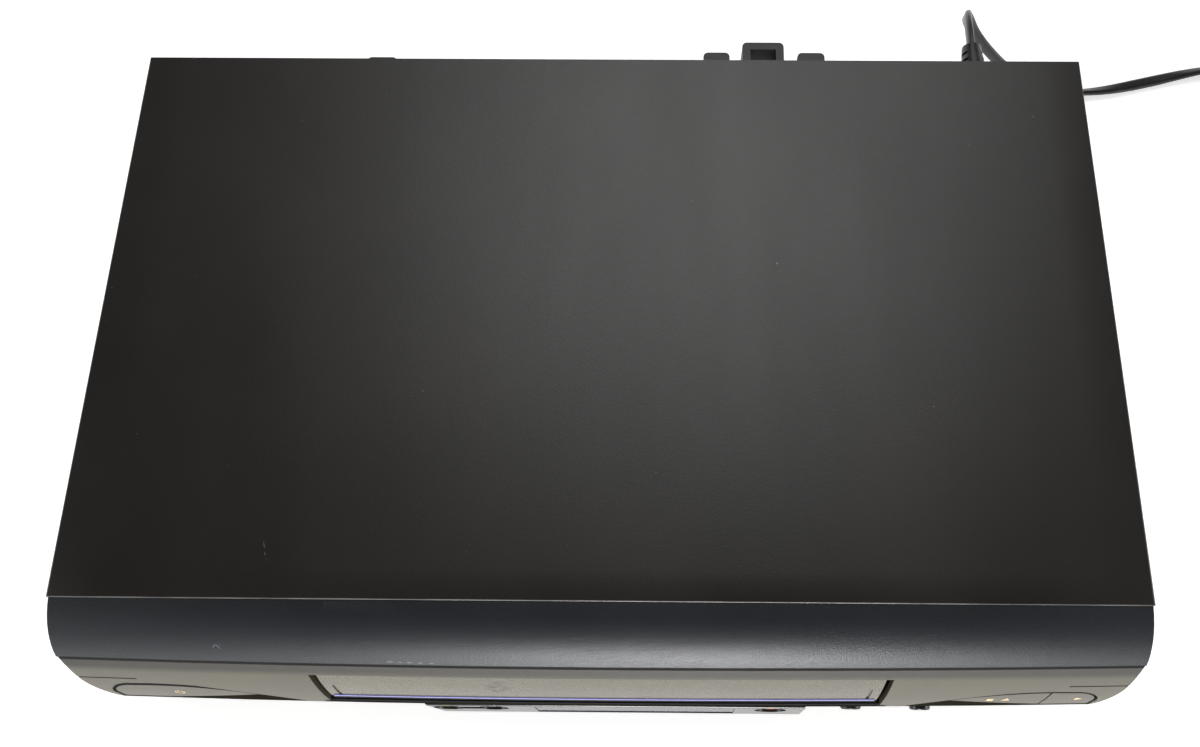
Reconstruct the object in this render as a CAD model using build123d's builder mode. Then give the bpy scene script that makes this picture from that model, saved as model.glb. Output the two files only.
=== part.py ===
"""Video cassette recorder, front loading, in millimetres. +X right, +Y to the back, +Z up.

The origin is under the middle of the deck, on the surface that it stands on.
"""

import os
from math import asin, atan, cos, degrees, hypot, pi, radians, sin, sqrt, tan

from build123d import *

os.makedirs("parts", exist_ok=True)

# ---------------------------------------------------------------- case
width = 380.0  # over the steel cover
height = 88.0  # table to the top of the cover
cover_depth = 214.0
console_reach = 40.0  # front console ahead of the cover
hook_reach = 16.0  # cord hook behind the cover
cover_sheet = 0.8
cover_overhang = 0.7  # cover proud of the moulded front, each side
cover_lip = 9.0  # height of the lip folded down at the back
cover_edge = 1.0  # bend radius along the sides
foot_height = 5.0
foot_radius = 9.0
foot_stem_radius = 3.0
foot_edge = 1.0
foot_inset_x = 30.0
foot_inset_y = 26.0
cover_screw_radius = 1.5
screw_head_radius = 3.2
screw_head = 1.8
screw_length = 5.0
screw_margin = 22.0  # outer cover screws, in from the sides
vent_rows = 8
vent_pitch = 7.0
vent_width = 3.0
vent_half = 14.0
vent_inset = 46.0
vent_start = 80.0
rear_vent_low = 30.0
rear_vent_high = 64.0
rear_vent_x = 92.0
standoff_edge = 2.0
boss_inner_x = 109.0
boss_inner_z = 14.0
boss_outer_inset = 28.0
boss_outer_z = 16.0
boss_radius = 3.0
part_gap = 0.25  # line between the two front mouldings
key_play = 0.3
key_lift = 9.0  # stems of the side keys above the parting line
power_switch_inset = 32.0
stop_switch_inset = 42.0
play_switch_inset = 18.0
stem_half = 2.0
surround_lap = 2.0
record_recess_radius = 6.2
record_proud = 0.8
button_edge = 0.8
jack_recess_half = 6.0
jack_bridge_half = 3.0  # half height of the recess between the two jacks
jack_proud = 0.6
jack_depth = 9.0
window_lip = 2.0
window_set = 0.25  # window behind the console's face
cheek_tail = 4.0
mark_margin = 9.5  # door's top edge to the tops of its grooves
mark_rise = 4.6  # their feet above its lower edge
ear_width = 3.0
ear_drop = 8.0
board_gap = 4.0
power_ahead = 76.0
chip_height = 3.0
chips = ((26.0, -40.0, 26.0, 26.0), (30.0, 10.0, 18.0, 30.0), (58.0, -10.0, 14.0, 22.0))  # inset, y, width, length
tuner_half = 20.0
tuner_length = 46.0
tuner_top = 66.0
aerial_length = 9.0
aerial_hole_radius = 1.0
av_margin = 9.0
av_depth = 9.0
jack_length = 6.0
capacitors = ((60.0, -50.0, 9.0, 26.0), (60.0, -28.0, 6.0, 20.0), (44.0, -28.0, 6.0, 20.0))  # inset, y, radius, height
sink_inset = 66.0
sink_from_drum = 22.0
sink_length = 44.0
sink_wall = 2.0
sink_height = 28.0
sink_fins = 6
sink_fin_depth = 8.0
transformer_inset = 32.0
transformer_from_drum = -4.0
transformer_side = 32.0
transformer_height = 30.0
bobbin_flange = 4.0
bobbin_ratio = 0.9  # winding's radius to half the core's side
board_lift = 5.0
board_pillar_radius = 3.0
board_margin = 8.0
pillar_inset = 8.0
pillar_gap = 12.0  # board pillars beside the chassis
power_pillar_ahead = 40.0
aerial_inset = 38.0
aerial_z = (34.0, 56.0)
aerial_radius = 4.7
socket_collar = 1.2  # collar of a rear socket, through the rear panel
av_from_aerial = (56.0, 76.0)
av_z = (30.0, 50.0)
relief_neck_radius = 5.0
plate = 1.2  # pressed steel of the tray, the rear panel and the chassis
flange_height = 14.0
rear_foot = 2.4  # foot along the rear panel's lower edge
play = 0.3  # clearance between pieces that do not touch
fit = 0.05  # radial running clearance of a pin in its hole

# ---------------------------------------------------------------- moulded front
wall = 2.5
bow_radius = 8000.0  # the front bulges by this radius, seen from above
corner_radius = 8.0
nose_swell_reach = 12.0
nose_swell_drop = 3.0
crease_reach = 21.7
crease_drop = 12.0  # crease below the top of the cover
crease_groove = 0.9
face_reach = 36.0
face_crown = 1.6  # the sloping face bulges by this, seen from the end
split_drop = 52.0  # top of the lower front panel, below the top of the cover
lower_reach = 35.0
tongue_depth = 6.0  # the front's rear rim, inside the cover
tongue_wall = 2.0
seam_drop = 16.0  # groove round each end, below the crease
seam_width = 0.8
seam_length = 22.0

door_beyond = 6.6  # door past the carrier, each side
door_rise = 6.4  # door's lower edge above the parting line
door_drop = 9.0  # door's upper edge below the crease
door_side_gap = 2.4
door_wall = 2.2
door_inset = 0.5
pivot_drop = 6.0  # door's pins below the crease
door_pin_radius = 1.0
door_barrel_radius = 1.6
cheek = 2.0
mark_beyond = 2.7  # grooves on the door past the carrier, each side
mark_width = 1.2
mark_depth = 0.5
trim_height = 1.1
trim_rise = 3.4  # coloured strip above the door's lower edge
trim_depth = 0.3

leaf_tip_gap = 5.9  # leaf's tip beyond the door's cheek
leaf_crown_inset = 18.0
leaf_end_inset = 6.5
leaf_rise = 18.0
leaf_fullness = 0.86  # height of the leaf's upper edge halfway along, as a share of its rise
leaf_shoulder_in = 3.0
leaf_shoulder_drop = 3.0
leaf_end_drop = 11.0
key_slot = 1.1
key_wall = 2.0
key_split_inset = 26.0
key_travel = 1.2
scoop_from_tip = 12.0
scoop_to_crown = 6.0
scoop_start = 0.6  # scoop's inner end up the leaf's rise
scoop_middle = 0.4
scoop_middle_rise = 6.5
scoop_end_rise = 1.4
surround_wall = 2.0

console_left = 70.0
console_right = 77.0
console_low = 9.0
console_drop = 5.0  # console's top below the parting line
control_drop = 7.0  # jacks and round keys below the console's top
console_slope = 4.0  # slant of its left end, seen from above
console_rake = 3.4  # its upper edge behind its lower one
console_edge = 1.0
jack_x = (-62.0, -44.5)
jack_radius = 4.15
jack_hole_radius = 1.6
jack_recess = 3.8  # floor of the console's recesses behind its lower edge
window_left = -28.0
window_right = 50.0
window_half_height = 8.0
record_x = 64.0
round_key_x = (95.5, 122.5)
round_key_radius = 4.0
round_key_proud = 2.0
key_flange = 1.5  # flange that keeps a round key in its hole
key_flange_room = 1.0

board_reach = 22.0  # front board ahead of the cover
board_thick = 1.6
board_drop = 3.0  # front board below the parting line
board_wing_rise = 2.0  # its wings above the leaves
board_end_inset = 16.0
board_wing_gap = 2.8  # its wings beyond the door's cheeks
switch_body = 6.0
switch_depth = 3.5
plunger_radius = 1.6
plunger_depth = 1.5

# ---------------------------------------------------------------- cassette path
cassette_width = 188.0
cassette_depth = 103.0
cassette_thick = 25.0
carrier_play = 0.8  # cassette to carrier wall, each side
carrier_sheet = 1.2
carrier_depth = 47.0
carrier_travel = 60.0
cassette_lift = 6.4  # cassette above the chassis when it is down on the reels
ledge = 14.0
side_gap = 1.0  # carrier wall to slide plate, and slide plate to side frame
guide_pin_radius = 1.5
frame_foot = 7.0

# ---------------------------------------------------------------- tape mechanism
chassis_lift = 8.8  # chassis above the tray
chassis_rim = 0.6  # chassis beyond the feet of the side frames
chassis_rear = 35.0  # chassis behind the drum axis
pillar_radius = 4.0
drum_radius = 31.0
drum_tilt = 5.0
drum_standoff = 41.0  # drum axis behind the loaded cassette
drum_split_z = 33.0
drum_top_z = 46.0
drum_shaft_radius = 3.0
drum_boss_radius = 8.0
drum_rotor_radius = 19.0
drum_rotor_thick = 3.4
reel_x = 46.0
reel_behind_front = 48.0  # reel axis behind the loaded cassette's front
reel_rim_radius = 24.0
reel_rim_thick = 2.5
reel_hub_radius = 8.5
reel_hub_height = 12.0
post_radius = 1.5
idler_arm_length = 24.0
idler_pivot_back = 30.0
idler_radius = 16.0
capstan_x = 62.0
capstan_from_drum = 31.0
capstan_radius = 1.5
capstan_bearing_radius = 6.0
capstan_rotor_radius = 24.0
clutch_radius = 15.0
belt_thick = 1.0
belt_height = 2.0
guide_x = 28.0
guide_from_drum = 36.0
guide_swing = 75.0
guide_boat_radius = 4.5
guide_post_radius = 2.0
pinch_pivot_x = 90.0
pinch_pivot_from_drum = 7.0
pinch_radius = 8.0
pinch_swing = 60.0
cam_x = 84.0
cam_from_drum = 17.0
cam_radius = 14.0
motor_x = 99.0
motor_from_drum = 26.0
motor_radius = 8.0
motor_pulley_radius = 3.0
cam_thick = 3.0
cam_groove = 1.0
cam_offset = 3.0
arm_lift = 3.8
arm_thick = 1.6
arm_end_radius = 4.0
roller_height = 18.0
boat_thick = 2.6
bearing_height = 3.4  # capstan bearing above the chassis, under the pinch arm's sweep
chassis_hole_radius = 24.0
stator_drop = 19.3
stator_thick = 1.5
stator_stack = 3.0
coil_margin = 4.0
drum_dish = 2.0
head_count = 4
head_start = 20.0
head_window = 2.4
reel_splines = 3
spline_radius = 1.2
erase_x = 54.0
erase_from_drum = 25.0
audio_x = 46.0
audio_from_drum = 34.0
head_half = 4.5
head_low_z = 28.0
motor_height = 18.0
motor_shaft_radius = 1.0
motor_bore = 6.0
motor_leg = 6.0
motor_leg_radius = 2.0
tension_x = -86.0
tension_ahead = 14.0
tension_pin_x = 20.0
tension_pin_y = 22.0
carrier_pin_height = 20.0
slide_pin_height = 4.5
pin_inset = 9.0
stop_width = 30.0
carrier_window_length = 60.0
carrier_window_width = 24.0
sync_bar_radius = 1.5
frame_margin = 4.0

# ---------------------------------------------------------------- rear and mains
standoff_drop = 11.0  # below the top of the cover
standoff_height = 15.0
hook_inset = 127.6
standoffs = ((-160.7, 12.6, 8.0), (-19.7, 11.0, 11.0), (20.1, 11.4, 11.0))  # from the hook, width, reach
hook_width = 17.5
hook_wall = 3.4
cord_radius = 2.8
relief_inset = 36.5
relief_z = 68.0
relief_length = 20.0
relief_root_radius = 6.2
relief_ribs = 5
relief_head = 3.0
rib_start = 0.6  # first rib's slot, in pitches
rib_slot = 0.35
relief_tip_radius = 4.0
coil_x = 352.0
coil_lead = 10.0  # where the cord joins the coil, ahead of its middle
coil_reach_y = 173.5  # far side of the coil's outer turn, where the cord joins it
coil_outer_turn = 4.8  # outer turn beyond the middle one
coil_radius = 31.0
coil_bundle = 8.4
plug_from_turn = 2.4  # plug's axis inside the coil's middle turn
plug_in_coil = 5.0  # depth of the plug's tail in the coil
plug_tail_rim = 1.0
plug_neck_side = 2.0
plug_neck_top = 1.5
plug_tail = 20.0
plug_length = 24.0
plug_half_width = 12.0
plug_half_height = 8.0
plug_edge = 3.0
blade_length = 16.0
blade_thick = 1.5
blade_half_gap = 6.35
blade_half_width = 3.2

# ---------------------------------------------------------------- worked out
total_depth = console_reach + cover_depth + hook_reach
front_y = console_reach - total_depth / 2  # the cover's front edge
back_y = front_y + cover_depth
tray_z = foot_height + plate
crease_z = height - crease_drop
nose_top_z = height - cover_sheet
face_top_z = crease_z - crease_groove
split_z = height - split_drop
seam_z = crease_z - seam_drop
seam_inner = width / 2 - seam_length
face_top_reach = crease_reach
face_tilt = atan((face_reach - face_top_reach) / (face_top_z - split_z))
inner_half = width / 2 - cover_sheet
tray_half = inner_half - play
rear_y = back_y - cover_sheet - plate  # inner face of the rear panel
form_tail = 60.0  # how far the moulded front's cores run back
form_bulge = 0.5  # outline ahead of the deepest profile
key_set = 0.2  # keys behind the skin of the front


def face_y(z, inset=0.0):
    """Y of the sloping face on the centre line, set in square to the face by inset."""
    down = (face_top_z - z) / (face_top_z - split_z)
    crown = 4 * face_crown * down * (1 - down)
    reach = face_top_reach + (face_top_z - z) * tan(face_tilt) + (crown - inset) / cos(face_tilt)
    return front_y - reach


carrier_half = cassette_width / 2 + carrier_play
slide_inner = carrier_half + carrier_sheet + side_gap
frame_inner = slide_inner + carrier_sheet + side_gap
chassis_half = frame_inner + carrier_sheet + frame_foot + chassis_rim
door_half = carrier_half + door_beyond
mark_x = carrier_half + mark_beyond
door_bottom = split_z + door_rise
door_top = crease_z - door_drop
door_pivot_z = crease_z - pivot_drop
mark_low = door_bottom + mark_rise
mark_high = door_top - mark_margin
opening_half = door_half + door_side_gap
cheek_in = opening_half + play
cheek_out = cheek_in + cheek
door_bow = cheek_out**2 / (2 * bow_radius) * cos(face_tilt)  # how far the face falls back there
door_pivot_inset = wall + door_barrel_radius + play + door_bow
door_pivot_y = face_y(door_pivot_z, door_pivot_inset)
door_sweep = hypot(door_pivot_y - face_y(door_bottom), door_pivot_z - door_bottom) + play
slot_z = split_z + 3.2  # top of the sill
cassette_z = slot_z + 0.4  # underside of a cassette on its way in
carrier_front = door_pivot_y + door_sweep + play
carrier_back = carrier_front + carrier_depth
loaded_back = carrier_back + carrier_travel
loaded_front = loaded_back - cassette_depth
carrier_top_z = cassette_z + cassette_thick + 0.6
frame_top_z = carrier_top_z + 8.0

leaf_tip_x = cheek_out + leaf_tip_gap
leaf_crown_x = width / 2 - leaf_crown_inset
leaf_end_x = width / 2 - leaf_end_inset
leaf_top_z = split_z + leaf_rise
key_split_x = width / 2 - key_split_inset
key_z = split_z + key_lift
power_switch_x = width / 2 - power_switch_inset
stop_switch_x = width / 2 - stop_switch_inset
play_switch_x = width / 2 - play_switch_inset
console_high = split_z - console_drop
control_z = console_high - control_drop
window_z = (console_low + console_high) / 2
board_top = split_z - board_drop
board_wing_top = leaf_top_z + board_wing_rise
board_end = width / 2 - board_end_inset
board_wing_x = cheek_out + board_wing_gap
boss_outer_x = width / 2 - boss_outer_inset
board_bosses = [(side * boss_inner_x, boss_inner_z) for side in (-1, 1)]
board_bosses += [(side * boss_outer_x, boss_outer_z) for side in (-1, 1)]

board_z = tray_z + board_lift
pillar_x = chassis_half - pillar_inset
foot_x = width / 2 - foot_inset_x
foot_places = [(x, y) for x in (-foot_x, foot_x) for y in (front_y + foot_inset_y, back_y - foot_inset_y)]
cover_screw_x = (screw_margin - width / 2, 0.0, width / 2 - screw_margin)
screw_z = height - cover_lip / 2
vent_x = (vent_inset - width / 2, width / 2 - vent_inset)
vent_start_y = front_y + vent_start

chassis_z = tray_z + chassis_lift
deck_z = chassis_z + plate  # top of the chassis
carrier_drop = cassette_z - deck_z - cassette_lift
chassis_front = carrier_front - 2.0
drum_y = loaded_back + drum_standoff
chassis_back = drum_y + chassis_rear
board_left = board_margin - tray_half
board_front = front_y + board_margin
board_back = rear_y - 1.0
board_pillars = (
    (board_left + board_margin, board_front + board_margin),
    (board_left + board_margin, board_back - board_margin),
    (-chassis_half - pillar_gap, board_front + board_margin),
    (0, board_back - 2 * board_pillar_radius),
    (tray_half - 2 * board_margin, board_back - board_margin),
    (tray_half - 2 * board_margin, drum_y - power_pillar_ahead),
    (chassis_half + 2 * board_margin, drum_y - power_pillar_ahead),
)
reel_y = loaded_front + reel_behind_front
reel_z = deck_z + 1.8
idler_pivot_y = reel_y + idler_pivot_back
capstan_y = drum_y - capstan_from_drum
rotor_low = tray_z + 2.0
rotor_thick = 3.0
belt_z = rotor_low + (rotor_thick - belt_height) / 2

power_left = chassis_half + board_gap
transformer_x = width / 2 - transformer_inset
sink_x = width / 2 - sink_inset
aerial_x = aerial_inset - width / 2
av_x = [aerial_x + beyond for beyond in av_from_aerial]
relief_x = width / 2 - relief_inset
hook_x = width / 2 - hook_inset
standoff_top_z = height - standoff_drop


def slab(x, y, z, mode=Mode.ADD):
    """Box from three (low, high) pairs."""
    with Locations(((x[0] + x[1]) / 2, (y[0] + y[1]) / 2, (z[0] + z[1]) / 2)):
        Box(x[1] - x[0], y[1] - y[0], z[1] - z[0], mode=mode)


def post(x, y, radius, low, high, mode=Mode.ADD):
    """Upright cylinder from low to high."""
    with Locations((x, y, (low + high) / 2)):
        Cylinder(radius, high - low, mode=mode)


def rod_y(x, z, radius, low, high, mode=Mode.ADD):
    """Cylinder along Y from low to high."""
    with Locations((x, (low + high) / 2, z)):
        Cylinder(radius, high - low, rotation=(90, 0, 0), mode=mode)


def rod_x(y, z, radius, low, high, mode=Mode.ADD):
    """Cylinder along X from low to high."""
    with Locations(((low + high) / 2, y, z)):
        Cylinder(radius, high - low, rotation=(0, 90, 0), mode=mode)


# ---------------------------------------------------------------- forms of the front
half_turn = asin((width / 2 + wall) / bow_radius)
bow_axis = Axis((0, front_y + bow_radius, 0), (0, 0, 1))
bow_plane = Plane(
    origin=bow_axis.position,
    x_dir=(-sin(half_turn), -cos(half_turn), 0),
    z_dir=(-cos(half_turn), sin(half_turn), 0),
)


def front_form(inset, rear):
    """Nose, face and lower front in one solid that ends at rear, its skin set in by inset."""
    with BuildPart() as form:
        with BuildSketch(bow_plane):
            with BuildLine():
                back = bow_radius - form_tail
                top = Line((back, nose_top_z), (bow_radius, nose_top_z))
                swell = (bow_radius + nose_swell_reach, nose_top_z - nose_swell_drop)
                nose = ThreePointArc(top @ 1, swell, (bow_radius + crease_reach, crease_z))
                step = (bow_radius + crease_reach - crease_groove, crease_z - crease_groove / 2)
                start = nose @ 1
                if inset == 0:
                    start = Line(start, step) @ 1
                brow = Line(start, (bow_radius + face_top_reach, face_top_z))
                middle_z = (face_top_z + split_z) / 2
                middle = (bow_radius + front_y - face_y(middle_z), middle_z)
                face = ThreePointArc(brow @ 1, middle, (bow_radius + face_reach, split_z))
                Polyline(
                    face @ 1,
                    (bow_radius + lower_reach, tray_z),
                    (back, tray_z),
                    (back, nose_top_z),
                )
            make_face()
            if inset > 0:
                offset(amount=-inset, kind=Kind.INTERSECTION, mode=Mode.REPLACE)
        revolve(axis=bow_axis, revolution_arc=degrees(2 * half_turn))
        with BuildSketch(Plane.XY):
            half = width / 2 - cover_overhang - inset
            bow = bow_radius + face_reach + form_bulge - inset
            side_y = front_y + bow_radius - sqrt(bow**2 - half**2)
            with BuildLine():
                arc = ThreePointArc((-half, side_y), (0, front_y + bow_radius - bow), (half, side_y))
                Polyline(arc @ 1, (half, rear), (-half, rear), arc @ 0)
            make_face()
            ends = vertices().group_by(Axis.Y)[0]
            fillet(ends, radius=corner_radius - inset)
        extrude(amount=height, mode=Mode.INTERSECT)
    return form.part


shell_rear = front_y + form_tail / 2
outer_form = front_form(0, front_y)
core_form = front_form(wall, shell_rear)
core_back_form = front_form(wall + surround_wall, shell_rear)
door_form = front_form(door_inset, shell_rear)
door_back_form = front_form(door_inset + door_wall, shell_rear)
key_form = front_form(key_set, shell_rear)
key_back_form = front_form(key_set + key_wall, shell_rear)
trim_form = front_form(door_inset - trim_depth, shell_rear)
front_plane = Plane.XZ.offset(-front_y)


def leaf_sketch(side, inset=0.0):
    """Leaf-shaped recess at one end of the face, in the front plane's own axes."""
    with BuildSketch(Plane.XY) as leaf:
        with BuildLine():
            crown = (side * leaf_crown_x, leaf_top_z)
            middle_x = (leaf_tip_x + leaf_crown_x) / 2
            middle_z = split_z + leaf_fullness * leaf_rise
            upper = ThreePointArc((side * leaf_tip_x, split_z), (side * middle_x, middle_z), crown)
            shoulder = (side * (leaf_end_x - leaf_shoulder_in), leaf_top_z - leaf_shoulder_drop)
            end = ThreePointArc(upper @ 1, shoulder, (side * leaf_end_x, leaf_top_z - leaf_end_drop))
            Polyline(end @ 1, (side * leaf_end_x, split_z), upper @ 0)
        make_face()
        if inset != 0:
            offset(amount=-inset, kind=Kind.INTERSECTION, mode=Mode.REPLACE)
    return leaf.sketch


def key_sketch(side, grow=0.0):
    """The leaf less its slot and the scooped corner under its inner half."""
    with BuildSketch(Plane.XY) as key:
        add(leaf_sketch(side, key_slot - grow))
        with BuildLine():
            start_x = leaf_tip_x + scoop_from_tip
            end_x = leaf_crown_x - scoop_to_crown
            middle_x = start_x + scoop_middle * (end_x - start_x)
            inner = (side * start_x, split_z + scoop_start * leaf_rise - grow)
            middle = (side * middle_x, split_z + scoop_middle_rise - grow)
            curve = ThreePointArc(inner, middle, (side * end_x, split_z + scoop_end_rise - grow))
            Polyline(
                curve @ 1,
                (side * width / 2, split_z + scoop_end_rise - grow),
                (side * width / 2, split_z - part_gap),
                (side * cheek_out, split_z - part_gap),
                (side * cheek_out, inner[1]),
                curve @ 0,
            )
        make_face(mode=Mode.SUBTRACT)
    return key.sketch


# ---------------------------------------------------------------- case pieces
front_limit = front_y - console_reach - 1.0

with BuildPart() as top_cover:
    slab((-width / 2, width / 2), (front_y, back_y), (tray_z, height))
    fillet(top_cover.edges().filter_by(Axis.Y).group_by(Axis.Z)[-1], radius=cover_edge)
    inside = (-inner_half, inner_half)
    slab(inside, (front_y, back_y - cover_sheet), (tray_z, height - cover_sheet), Mode.SUBTRACT)
    slab(inside, (front_y, back_y), (tray_z, height - cover_lip), Mode.SUBTRACT)
    for x in cover_screw_x:
        rod_y(x, screw_z, cover_screw_radius, back_y - cover_sheet, back_y, Mode.SUBTRACT)
top_cover.part.label = "top_cover"
export_step(top_cover.part, "parts/top_cover.step")

with BuildPart() as cover_screws:
    for x in cover_screw_x:
        rod_y(x, screw_z, cover_screw_radius, rear_y - screw_length, back_y)
        rod_y(x, screw_z, screw_head_radius, back_y, back_y + screw_head)
cover_screws.part.label = "cover_screws"
export_step(cover_screws.part, "parts/cover_screws.step")

with BuildPart() as base_tray:
    slab((-tray_half, tray_half), (front_y, rear_y), (foot_height, tray_z))
    for side in (-1, 1):
        edge = sorted((side * tray_half, side * (tray_half - plate)))
        slab(edge, (front_y, rear_y), (tray_z, tray_z + flange_height))
    for x in (-pillar_x, pillar_x):
        for y in (chassis_front + pillar_inset, chassis_back - pillar_inset):
            post(x, y, pillar_radius, tray_z, chassis_z)
    for x, y in board_pillars:
        post(x, y, board_pillar_radius, tray_z, board_z)
    for x, y in foot_places:
        post(x, y, foot_stem_radius, foot_height, tray_z, Mode.SUBTRACT)
    for x in vent_x:
        for row in range(vent_rows):
            y = vent_start_y + row * vent_pitch
            slab((x - vent_half, x + vent_half), (y, y + vent_width), (foot_height, tray_z), Mode.SUBTRACT)
base_tray.part.label = "base_tray"
export_step(base_tray.part, "parts/base_tray.step")

with BuildPart() as feet:
    for x, y in foot_places:
        post(x, y, foot_radius, 0, foot_height)
        post(x, y, foot_stem_radius, foot_height, tray_z + plate)
    fillet(feet.edges().group_by(Axis.Z)[0], radius=foot_edge)
feet.part.label = "feet"
export_step(feet.part, "parts/feet.step")

with BuildPart() as rear_panel:
    slab((-tray_half, tray_half), (rear_y, rear_y + plate), (tray_z, height - cover_sheet - play))
    through = (rear_y, rear_y + plate)
    flange_half = tray_half - plate - play
    slab((-flange_half, flange_half), (rear_y - rear_foot, rear_y), (tray_z, tray_z + plate))
    for x in cover_screw_x:
        rod_y(x, screw_z, cover_screw_radius, *through, Mode.SUBTRACT)
    for z in aerial_z:
        rod_y(aerial_x, z, aerial_radius + socket_collar + play, *through, Mode.SUBTRACT)
    for x in av_x:
        for z in av_z:
            rod_y(x, z, jack_radius + socket_collar + play, *through, Mode.SUBTRACT)
    rod_y(relief_x, relief_z, relief_neck_radius, *through, Mode.SUBTRACT)
    for row in range(vent_rows):
        x = rear_vent_x + row * vent_pitch
        slab((x, x + vent_width), through, (rear_vent_low, rear_vent_high), Mode.SUBTRACT)
rear_panel.part.label = "rear_panel"
export_step(rear_panel.part, "parts/rear_panel.step")

with BuildPart() as rear_standoffs:
    for from_hook, wide, reach in standoffs:
        x = hook_x + from_hook
        low = standoff_top_z - standoff_height
        slab((x - wide / 2, x + wide / 2), (back_y - cover_sheet, back_y + reach), (low, standoff_top_z))
    ends = rear_standoffs.edges().filter_by(Axis.Z).filter_by_position(Axis.Y, back_y + 1, back_y + hook_reach)
    fillet(ends, radius=standoff_edge)
rear_standoffs.part.label = "rear_standoffs"
export_step(rear_standoffs.part, "parts/rear_standoffs.step")

with BuildPart() as cord_hook:
    low = standoff_top_z - standoff_height
    half = hook_width / 2
    hook_end = back_y + hook_reach
    slab((hook_x - half, hook_x + half), (back_y - cover_sheet, hook_end), (low, standoff_top_z))
    inner = half - hook_wall
    slab((hook_x - inner, hook_x + inner), (back_y + hook_wall, hook_end - hook_wall), (low, standoff_top_z),
         Mode.SUBTRACT)
    fillet(cord_hook.edges().filter_by(Axis.Z).group_by(Axis.Y)[-1], radius=standoff_edge)
cord_hook.part.label = "cord_hook"
export_step(cord_hook.part, "parts/cord_hook.step")

# ---------------------------------------------------------------- moulded front pieces
seam_form = front_form(seam_width, shell_rear)
board_y = front_y - board_reach
stem_y = board_y - switch_depth - plunger_depth - key_travel - fit

with BuildPart() as front_bezel:
    add(outer_form)
    add(core_form, mode=Mode.SUBTRACT)
    slab((-width, width), (front_limit, front_y), (0, split_z), Mode.SUBTRACT)
    slab((-inner_half, inner_half), (front_y, front_y + tongue_depth), (split_z, nose_top_z))
    tongue_in = inner_half - tongue_wall
    slab((-tongue_in, tongue_in), (front_y, front_y + tongue_depth), (split_z, nose_top_z - tongue_wall),
         Mode.SUBTRACT)
    slab((-opening_half, opening_half), (front_limit, front_y - crease_reach / 2),
         (split_z, door_top + play), Mode.SUBTRACT)
    for side in (-1, 1):
        with BuildSketch(front_plane):
            add(leaf_sketch(side))
        extrude(amount=console_reach, mode=Mode.SUBTRACT)
        with BuildPart(mode=Mode.PRIVATE) as groove:
            low, high = sorted((side * seam_inner, side * width))
            slab((low, high), (front_limit, front_y), (seam_z, seam_z + seam_width))
            add(seam_form, mode=Mode.SUBTRACT)
        add(groove.part, mode=Mode.SUBTRACT)
front_bezel.part.label = "front_bezel"
export_step(front_bezel.part, "parts/front_bezel.step")

with BuildPart() as front_lower_panel:
    add(outer_form)
    add(core_form, mode=Mode.SUBTRACT)
    slab((-width, width), (front_limit, front_y), (split_z - part_gap, height), Mode.SUBTRACT)
    with BuildPart(mode=Mode.PRIVATE) as bosses:
        for x, z in board_bosses:
            rod_y(x, z, boss_radius, front_limit, board_y)
        add(core_form, mode=Mode.INTERSECT)
    add(bosses.part)
    behind = (front_limit, board_y - boss_radius)
    for x in jack_x:
        rod_y(x, control_z, jack_radius + fit, *behind, Mode.SUBTRACT)
    for x in (record_x, *round_key_x):
        rod_y(x, control_z, round_key_radius + key_play, *behind, Mode.SUBTRACT)
    clear_z = (window_z - window_half_height + window_lip, window_z + window_half_height - window_lip)
    slab((window_left + window_lip, window_right - window_lip), behind, clear_z, Mode.SUBTRACT)
front_lower_panel.part.label = "front_lower_panel"
export_step(front_lower_panel.part, "parts/front_lower_panel.step")

console_face = front_y - console_reach
console_back = front_y - lower_reach / 2


def raked(x, z, inset=0.0):
    """Solid behind the console's leaning face, between two (low, high) pairs."""
    lean = [console_rake * (level - console_low) / (console_high - console_low) + inset for level in z]
    with BuildPart() as wedge:
        with BuildSketch(Plane.YZ.offset(x[0])):
            with BuildLine():
                Polyline(
                    (console_back, z[0]),
                    (console_face + lean[0], z[0]),
                    (console_face + lean[1], z[1]),
                    (console_back, z[1]),
                    close=True,
                )
            make_face()
        extrude(amount=x[1] - x[0])
    return wedge.part


with BuildPart() as console_panel:
    add(raked((-console_left, console_right), (console_low, console_high)))
    lying = console_panel.edges().filter_by(Axis.X).sort_by(Axis.Y)
    fillet(lying[:2], radius=console_edge)
    with BuildSketch(Plane.XY):
        with BuildLine():
            Polyline(
                (-console_left, console_back),
                (-console_left, console_face + console_slope),
                (console_slope - console_left, console_face),
                (console_right, console_face),
                (console_right, console_back),
                close=True,
            )
        make_face()
    extrude(amount=height, mode=Mode.INTERSECT)
    add(outer_form, mode=Mode.SUBTRACT)
    through = (front_limit, front_y)
    recess = (console_face, console_face + jack_recess)
    recess_z = (control_z - jack_bridge_half, control_z + jack_bridge_half)
    slab((jack_x[0], jack_x[1]), recess, recess_z, Mode.SUBTRACT)
    for x in jack_x:
        rod_y(x, control_z, jack_recess_half, *recess, Mode.SUBTRACT)
        rod_y(x, control_z, jack_radius + fit, *through, Mode.SUBTRACT)
    rod_y(record_x, control_z, record_recess_radius, *recess, Mode.SUBTRACT)
    rod_y(record_x, control_z, round_key_radius + key_play, *through, Mode.SUBTRACT)
    slab((window_left, window_right), through,
         (window_z - window_half_height, window_z + window_half_height), Mode.SUBTRACT)
console_panel.part.label = "console_panel"
export_step(console_panel.part, "parts/console_panel.step")

with BuildPart() as display_window:
    glass_x = (window_left + fit, window_right - fit)
    glass_z = (window_z - window_half_height + fit, window_z + window_half_height - fit)
    add(raked(glass_x, glass_z, window_set))
    add(outer_form, mode=Mode.SUBTRACT)
display_window.part.label = "display_window"
export_step(display_window.part, "parts/display_window.step")

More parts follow.
